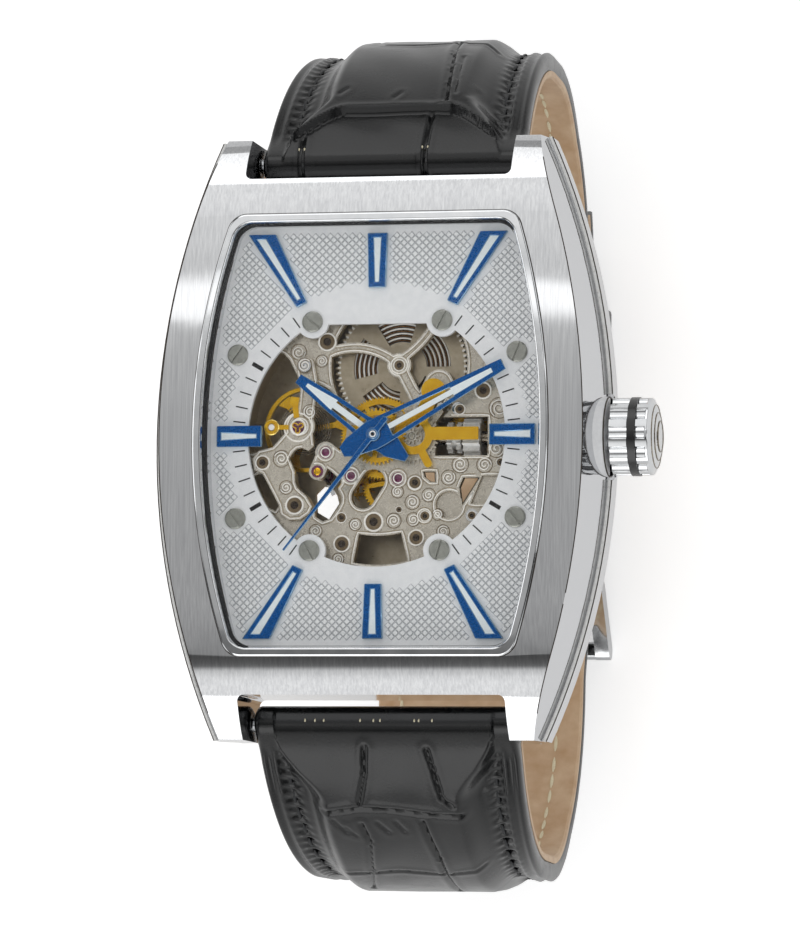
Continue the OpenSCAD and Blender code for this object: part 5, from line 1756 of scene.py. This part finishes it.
@dataclass
class Strap(Part):
    """The padded leather strap: two lined pieces, with their grooves and stitches."""

    bar_y: float = 25.2
    bar_z: float = 1.9
    bar_hole: float = 0.65
    half_w: float = 11.8
    buckle_half_w: float = 10.0
    upper_arc: Point3 = (14.7, -18.0, 22.5)
    lower_arc: Point3 = (19.2, -22.5, 18.0)
    lug_t: float = 3.4
    waist_t: float = 2.8
    knee_t: float = 2.6
    end_t: float = 2.4
    lining_t: float = 0.7
    loop_z: float = -40.5
    buckle_y: float = -9.9
    drop_end_y: float = -11.5
    layer_drop: float = 2.45
    tip_angle: float = 22.0
    rim_t: float = 2.3
    pad_rise: float = 0.75
    pad_half: float = 6.4
    channel_x: float = 2.35
    stitch_pitch: float = 2.3
    stitch_l: float = 1.6
    step: float = 0.19
    long_step: float = 0.4
    columns: int = 144
    pad_end: float = 52.0
    ridge_at: float = 10.0
    crease_w: float = 0.17
    scale_rows: tuple[float, ...] = (32.0, 39.5, 47.0, 54.0, 61.0, 68.0, 75.0, 82.0, 89.0)
    scale_columns: tuple[float, ...] = (-6.0, -1.4, 3.4)
    upper_creases: tuple[tuple[float, tuple[Point, ...]], ...] = (
        (0.16, ((-8.25, 0.0), (-8.3, 7.0))), (0.20, ((3.05, 0.0), (3.0, 5.0), (3.15, 9.6))),
        (0.26, ((4.4, 11.0), (4.3, 13.0), (4.0, 16.5), (3.6, 20.0), (3.4, 24.0))),
        (0.12, ((5.1, 12.0), (4.9, 15.0), (4.7, 18.5))),
        (0.16, ((-3.4, 23.4), (0.0, 23.0), (3.4, 23.3), (7.0, 22.6))),
        (0.08, ((6.3, 11.6), (6.9, 13.0))), (0.08, ((-5.6, 12.2), (-5.0, 12.9))),
        (0.08, ((-0.4, 11.4), (0.1, 12.1))),
        (0.14, ((-4.6, 24.0), (-4.9, 28.0), (-4.7, 32.0))), (0.14, ((3.2, 24.0), (2.7, 28.0), (2.6, 32.0))),
    )
    lower_creases: tuple[tuple[float, tuple[Point, ...]], ...] = (
        (0.20, ((-1.7, 6.4), (-2.0, 9.0), (-2.9, 12.3))),
        (0.20, ((3.9, 6.6), (4.3, 8.4), (4.7, 11.7), (5.6, 12.6))),
        (0.17, ((-6.5, 13.5), (-3.0, 12.8), (-0.3, 13.0), (3.2, 13.5), (6.2, 13.8))),
        (0.20, ((-3.1, 14.8), (-2.7, 17.3), (-3.6, 23.0), (-4.6, 28.0))),
        (0.22, ((2.6, 14.4), (3.2, 20.0), (3.1, 30.0))),
        (0.10, ((-1.6, 14.6), (-0.7, 15.9))), (0.10, ((0.1, 14.5), (0.8, 15.7))),
        (0.10, ((-5.6, 14.3), (-4.5, 16.0))),
        (0.08, ((-4.6, 15.2), (-3.8, 16.4))), (0.12, ((-5.9, 23.2), (-1.0, 22.6), (3.2, 23.2), (6.8, 22.4))),
    )
    roll_stitches: tuple[tuple[int, float, float], ...] = (
        (1, -8.5, 5.8), (1, -8.0, 5.8), (1, 2.8, 5.8), (1, 3.3, 5.8), (-1, -7.0, 4.2), (-1, -6.1, 4.25),
        (-1, -5.3, 4.2), (-1, -2.0, 4.2), (-1, -0.8, 4.25), (-1, -0.2, 4.2), (-1, 2.9, 4.25),
        (-1, 3.3, 4.2), (-1, 4.5, 4.25),
    )
    crease_store: dict[int, np.ndarray] = field(default_factory=dict)
    ridge_curve: Point3 = (3.9, 4.5, 11.0)
    plain_front: float = 2.0
    pad_step: Point = (0.3, 6.0)
    lip: Point3 = (0.14, 0.45, 0.28)
    pad_fade: float = 22.0
    pad_flare: Point3 = (4.0, 5.0, 12.5)
    rim_span: Point = (4.0, 9.0)
    least_drop: float = 0.25
    shoulder: Point3 = (0.6, 1.7, 0.5)
    channel_span: Point = (6.5, 9.0)
    channel_w: float = 0.62
    channel_d: float = 0.27
    pucker: tuple[float, ...] = (0.11, 1.15, 2.6, 0.05, 3.1)
    rim_roll: Point3 = (0.12, 1.7, 5.6)
    uneven: tuple[float, ...] = (0.045, 0.8, 0.37, 0.5, 0.3)
    crease_reach: float = 1.4
    crease_lip: Point3 = (0.3, 0.5, 0.3)
    roll_steps: int = 24
    taper_l: float = 34.0
    edge_r: float = 0.55
    thread: Point3 = (0.17, 0.13, 0.08)
    roll_stitch: Point3 = (0.45, 0.22, 0.8)
    stitch_from: float = 11.0
    bare_tail: float = 3.0

    def arc(self, at: Point3, start: float, end: float, t0: float, t1: float, step: float) -> list[Station]:
        """Stations along one arc of the loop.

        Args:
            at: The arc's centre and radius.
            start: Where it starts, in degrees.
            end: Where it ends.
            t0: The strap's thickness there at the start.
            t1: Its thickness at the end.
            step: About how far apart the stations are.

        Returns:
            The stations.
        """
        steps = max(4, int(abs(math.radians(end - start)) * at[2] / step))
        found = []
        for i in range(steps + 1):
            share = i / steps
            a = math.radians(start + (end - start) * share)
            t = t0 + (t1 - t0) * share
            y, z = at[0] + at[2] * math.cos(a), at[1] + at[2] * math.sin(a)
            found.append(Station(y, z, math.cos(a), math.sin(a), self.lining_t - t / 2, t / 2, thickness=t))
        return found

    def line(self, start: Point, end: Point, ease: bool = False) -> list[Station]:
        """Stations along a straight stretch behind the wrist.

        Args:
            start: Where it starts, as y and z.
            end: Where it ends.
            ease: Whether it eases between the two heights.

        Returns:
            The stations.
        """
        steps = max(3, int(math.dist(start, end) / self.long_step))
        t = self.end_t
        found = []
        for i in range(1, steps + 1):
            share = i / steps
            y = start[0] + (end[0] - start[0]) * share
            rise = float(smooth_step(share, 0.0, 1.0)) if ease else share
            z = start[1] + (end[1] - start[1]) * rise
            found.append(Station(y, z, 0.0, -1.0, self.lining_t - t / 2, t / 2, thickness=t))
        return found

    def route(self, side: int) -> list[Station]:
        """The outer leather's stations from its rolled end to its tail.

        Args:
            side: 1 for the piece at 12 o'clock, -1 for the one at 6.

        Returns:
            The stations in order, with the distance along filled in.
        """
        top_y, _, top_r = self.upper_arc
        low_y, low_z, low_r = self.lower_arc
        bar_angle = math.degrees(math.acos((self.bar_y - top_y) / top_r))
        roll = []
        for i in range(self.roll_steps + 1):
            a = math.radians(bar_angle + 180 - i * 180 / self.roll_steps)
            place = (self.bar_y, self.bar_z, math.cos(a), math.sin(a))
            roll.append(Station(*place, self.bar_hole, self.lug_t / 2, thickness=self.lug_t))
        around = self.arc(self.upper_arc, bar_angle - 0.6, 0, self.lug_t, self.waist_t, self.step)
        around += self.arc(self.lower_arc, 0, -90, self.knee_t, self.end_t, self.long_step)[1:]
        if side > 0:
            tail = self.line((low_y, self.loop_z), (self.buckle_y, self.loop_z))
        else:
            drop = self.loop_z - self.layer_drop
            tail = self.line((low_y, self.loop_z), (-self.drop_end_y, drop), ease=True)
            tail += self.line((-self.drop_end_y, drop), (-low_y, drop))
            outer = (-low_y, low_z, low_r + self.layer_drop)
            tail += self.arc(outer, -90, -90 - self.tip_angle, self.end_t, self.end_t, self.long_step)[1:]
        stations = roll + around + tail
        for before, after in zip(stations, stations[1:]):
            reach = (before.outer + after.outer) / 2
            after.along = before.along + math.dist(before.at(0.0, reach)[1:], after.at(0.0, reach)[1:])
        if side < 0:
            for s in stations:
                s.y, s.out_y = -s.y, -s.out_y
        return stations

    def width_at(self, z: float) -> float:
        """Half the strap's width at a height: full at the lugs, and narrower down to the buckle."""
        share = min(max(-z / self.taper_l, 0.0), 1.0)
        return self.half_w + (self.buckle_half_w - self.half_w) * share

    def pad_front(self, x: np.ndarray, side: int) -> np.ndarray:
        """Where the padded block starts: a curved step above the roll, or no step.

        Args:
            x: Places across the strap.
            side: 1 for the piece at 12 o'clock, -1 for the one at 6.

        Returns:
            The distance along the strap at each place.
        """
        if side < 0:
            return np.full_like(x, self.plain_front)
        back, start, end = self.ridge_curve
        return self.ridge_at - back * smooth_step(np.abs(x), start, end)

    def crown_height(self, x: np.ndarray, station: Station, half: float, side: int = 1) -> np.ndarray:
        """How far the outer face stands off the strap's middle line, across the strap.

        Args:
            x: Places across the strap.
            station: Where along the strap.
            half: Half the width there.
            side: 1 for the piece at 12 o'clock, -1 for the one at 6.

        Returns:
            The height at each place.
        """
        along = station.along
        off_middle = np.abs(x)
        past = along - self.pad_front(x, side)
        front = smooth_step(past, 0.0, self.pad_step[0] if side > 0 else self.pad_step[1])
        lip_h, lip_at, lip_w = self.lip
        lip = lip_h * hump(past, lip_at, lip_w) * (side > 0)
        fade = 1 - float(smooth_step(along, self.pad_end - self.pad_fade, self.pad_end))
        pad = self.pad_rise * (front + lip) * fade
        wider, wide_to, narrow_from = self.pad_flare
        pad_half = self.pad_half + wider * (1 - float(smooth_step(along, wide_to, narrow_from)))
        rim_drop = max(station.thickness - self.rim_t, self.least_drop)
        rim_drop *= float(smooth_step(along, *self.rim_span))
        rounded, sloped, clear = self.shoulder
        foot = np.minimum(pad_half + sloped, half - self.channel_x + clear)
        inside = 1 - smooth_step(off_middle, pad_half - rounded, foot)
        base = station.outer - rim_drop * (1 - inside) + pad * inside
        begin = float(smooth_step(along, *self.channel_span))
        channel = hump(off_middle, half - self.channel_x, self.channel_w)
        fold_h, fold_pitch, fold_slant, wave_h, wave = self.pucker
        folds = fold_h * np.sin(2 * math.pi * along / fold_pitch + fold_slant * off_middle)
        base = base - (self.channel_d - folds - wave_h * math.sin(along * wave)) * channel * begin
        rim = half - off_middle
        roll_h, roll_w, roll_turns = self.rim_roll
        base = base + roll_h * np.sin(np.clip(rim, 0, roll_w) * roll_turns) * (rim < roll_w) * begin
        uneven_h, by_x, by_along, slow, start = self.uneven
        uneven = np.sin(by_x * x + by_along * along) * np.sin(slow * along + start)
        return base + uneven_h * uneven * inside * begin - self.creases(x, along, side)

    def crease_lines(self, side: int) -> np.ndarray:
        """The leather's creases as straight runs: across and along at both ends, and the depth.

        Args:
            side: 1 for the piece at 12 o'clock, -1 for the one at 6.

        Returns:
            One row for each run: x, along, x, along, depth.
        """
        if side not in self.crease_store:
            runs = []
            for depth, line in self.upper_creases if side > 0 else self.lower_creases:
                runs += [(*a, *b, depth) for a, b in zip(line, line[1:])]
            rng = random.Random(17 + side)
            for row, after in zip(self.scale_rows, self.scale_rows[1:]):
                bends = [(x, row + rng.uniform(-0.5, 0.5)) for x in (-7.4, -4.6, -1.6, 1.5, 4.4, 7.4)]
                runs += [(*a, *b, 0.15) for a, b in zip(bends, bends[1:])]
                for column in self.scale_columns:
                    x = column + rng.uniform(-1.0, 1.0)
                    middle = (x + rng.uniform(-0.4, 0.4), (row + after) / 2)
                    runs += [(x, row, *middle, 0.13), (*middle, x + rng.uniform(-0.3, 0.3), after, 0.13)]
            self.crease_store[side] = np.array(runs)
        return self.crease_store[side]

    def creases(self, x: np.ndarray, along: float, side: int) -> np.ndarray:
        """Depth of the creases at one station, less the low lips that run beside them.

        Args:
            x: Places across the strap.
            along: The station's distance along the strap.
            side: 1 for the piece at 12 o'clock, -1 for the one at 6.

        Returns:
            The depth at each place.
        """
        runs = self.crease_lines(side)
        low, high = np.minimum(runs[:, 1], runs[:, 3]), np.maximum(runs[:, 1], runs[:, 3])
        near = runs[(low < along + self.crease_reach) & (high > along - self.crease_reach)]
        lip_share, lip_at, lip_w = self.crease_lip
        total = np.zeros_like(x)
        for x0, a0, x1, a1, depth in near:
            length = max((x1 - x0) ** 2 + (a1 - a0) ** 2, 1e-9)
            share = np.clip(((x - x0) * (x1 - x0) + (along - a0) * (a1 - a0)) / length, 0.0, 1.0)
            gap = np.hypot(x - x0 - share * (x1 - x0), along - a0 - share * (a1 - a0))
            cut = depth * hump(gap, 0.0, self.crease_w) - lip_share * depth * hump(gap, lip_at, lip_w)
            total = np.where(np.abs(cut) > np.abs(total), cut, total)
        return total

    def top_at(self, x: float, station: Station, side: int) -> float:
        """How far the outer face stands off the strap's middle line at one place."""
        return float(self.crown_height(np.array([x]), station, self.width_at(station.z), side)[0])

    def shell(self, name: str, stations: Sequence[Station], side: int) -> bpy.types.Mesh:
        """The outer leather as one closed mesh.

        Args:
            name: The mesh's name.
            stations: Where it runs.
            side: 1 for the piece at 12 o'clock, -1 for the one at 6.

        Returns:
            The mesh.
        """
        across = np.linspace(-1, 1, self.columns + 1)
        sections = []
        for s in stations:
            half = self.width_at(s.z)
            x = across * (half - 0.01)
            edge = np.clip((half - np.abs(x)) / self.edge_r, 0, 1)
            high = self.crown_height(x, s, half, side) - (1 - np.sqrt(1 - (1 - edge) ** 2)) * self.edge_r
            section = list(zip(x.tolist(), high.tolist())) + [(half - 0.01, s.inner + 0.3)]
            section += [(px, s.inner) for px in (np.linspace(1, -1, 9) * (half - 0.12)).tolist()]
            section += [(-half + 0.01, s.inner + 0.3)]
            sections.append([s.at(*corner) for corner in section])
        mesh = mesh_from(name, *skin(sections))
        crease_sharply(mesh, 50.0)
        return mesh

    def lining(self, name: str, stations: Sequence[Station]) -> bpy.types.Mesh:
        """The tan lining as one closed mesh under the outer leather.

        Args:
            name: The mesh's name.
            stations: The outer leather's stations.

        Returns:
            The mesh.
        """
        sections = []
        for s in [s for s in stations if abs(s.inner + s.thickness / 2 - self.lining_t) < 1e-6][2:]:
            half = self.width_at(s.z) - 0.03
            low, high = -s.thickness / 2, s.inner - 0.01
            section = [(half, high), (half, low + 0.2), (half - 0.2, low)]
            section += [(half * f, low) for f in (0.6, 0.2, -0.2, -0.6)]
            section += [(-half + 0.2, low), (-half, low + 0.2), (-half, high)]
            sections.append([s.at(*corner) for corner in section])
        return mesh_from(name, *skin(sections))

    def stitch_places(
        self, stations: Sequence[Station], start: float, end: float, side: int, inside: bool
    ) -> tuple[list[Point3], list[Point3]]:
        """Where the stitches stand on one face of a strap piece.

        Args:
            stations: Where the strap runs.
            start: Where the row starts, along the strap.
            end: Where it ends.
            side: 1 for the piece at 12 o'clock, -1 for the one at 6.
            inside: Whether the row is on the lining.

        Returns:
            The places, and the angles that turn a stitch along the strap.
        """
        places, turns = [], []
        along = start
        index = 0
        while along < end and index < len(stations) - 1:
            while index < len(stations) - 1 and stations[index].along < along:
                index += 1
            s = stations[index]
            for sign in (-1, 1):
                x = sign * (self.width_at(s.z) - self.channel_x)
                h = -s.thickness / 2 - 0.02 if inside else self.top_at(x, s, side) + 0.03
                places.append(s.at(x, h))
                turns.append(s.lean())
            along += self.stitch_pitch
        return places, turns

    def build(self) -> None:
        """Builds both strap pieces with their linings and stitches."""
        capsule = self.stitch_template()
        for side, part in ((1, "upper"), (-1, "lower")):
            stations = self.route(side)
            leather = in_scene(f"strap_{part}_leather", self.shell(f"strap_{part}_leather", stations, side))
            self.frame.beside(f"strap_{part}", "black_leather", (f"strap_{part}",)).settle(leather)
            lining = in_scene(f"strap_{part}_tan", self.lining(f"strap_{part}_tan", stations))
            self.frame.beside(f"strap_{part}_lining", "tan_leather", (f"strap_{part}_lining",)).settle(lining)
            end = stations[-1].along - self.bare_tail
            for inside, face, slot, finish in (
                (True, "inner", "tan_leather", "cream_thread"),
                (False, "outer", "black_leather", "black_thread"),
            ):
                places, turns = self.stitch_places(stations, self.stitch_from, end, side, inside)
                piece = Piece("case", slot, finish)
                self.maker.copy(f"strap_{part}_{face}_stitches", capsule.copy(), places, piece, turns)
            self.sew_roll(side, part, stations, capsule)

    def sew_roll(
        self, side: int, part: str, stations: Sequence[Station], capsule: bpy.types.Mesh
    ) -> None:
        """The few pale stitch ends that show across the roll.

        Args:
            side: 1 for the piece at 12 o'clock, -1 for the one at 6.
            part: The piece's name.
            stations: Where the strap runs.
            capsule: The stitch to copy.
        """
        places, turns = [], []
        for x, along in [(x, along) for at_side, x, along in self.roll_stitches if at_side == side]:
            s = min(stations, key=lambda station: abs(station.along - along))
            places.append(s.at(x, self.top_at(x, s, side) + 0.02))
            turns.append(s.lean())
        piece = Piece("case", "black_leather", "cream_thread")
        sizes = [self.roll_stitch] * len(places)
        self.maker.copy(f"strap_{part}_roll_stitches", capsule.copy(), places, piece, turns, sizes)

    def stitch_template(self) -> bpy.types.Mesh:
        """A stitch: a short thread that dips into the leather at both ends.

        Returns:
            The stitch's mesh, along y.
        """
        width, high, dip = self.thread
        sections = []
        for u in (-1.0, -0.5, 0.0, 0.5, 1.0):
            swell = math.sqrt(max(1 - u * u, 0.06))
            ring = circle(swell, 8)
            sections.append([(width * x, self.stitch_l / 2 * u, high * y - dip * u * u) for x, y in ring])
        return mesh_from("stitch", *skin(sections))


def main() -> None:
    """Builds the watch's looks round its frame."""
    logging.basicConfig(level=logging.INFO, format="%(message)s")
    frame = Frame()
    View().build()
    frame.dress()
    maker = Maker()
    for part in (Case, Dial, Hands, Movement, Fittings, Strap):
        part(frame, maker).build()
    lowest = min(c[2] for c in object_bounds()) / MM
    Studio().build(lowest)


if __name__ == "__main__":
    main()
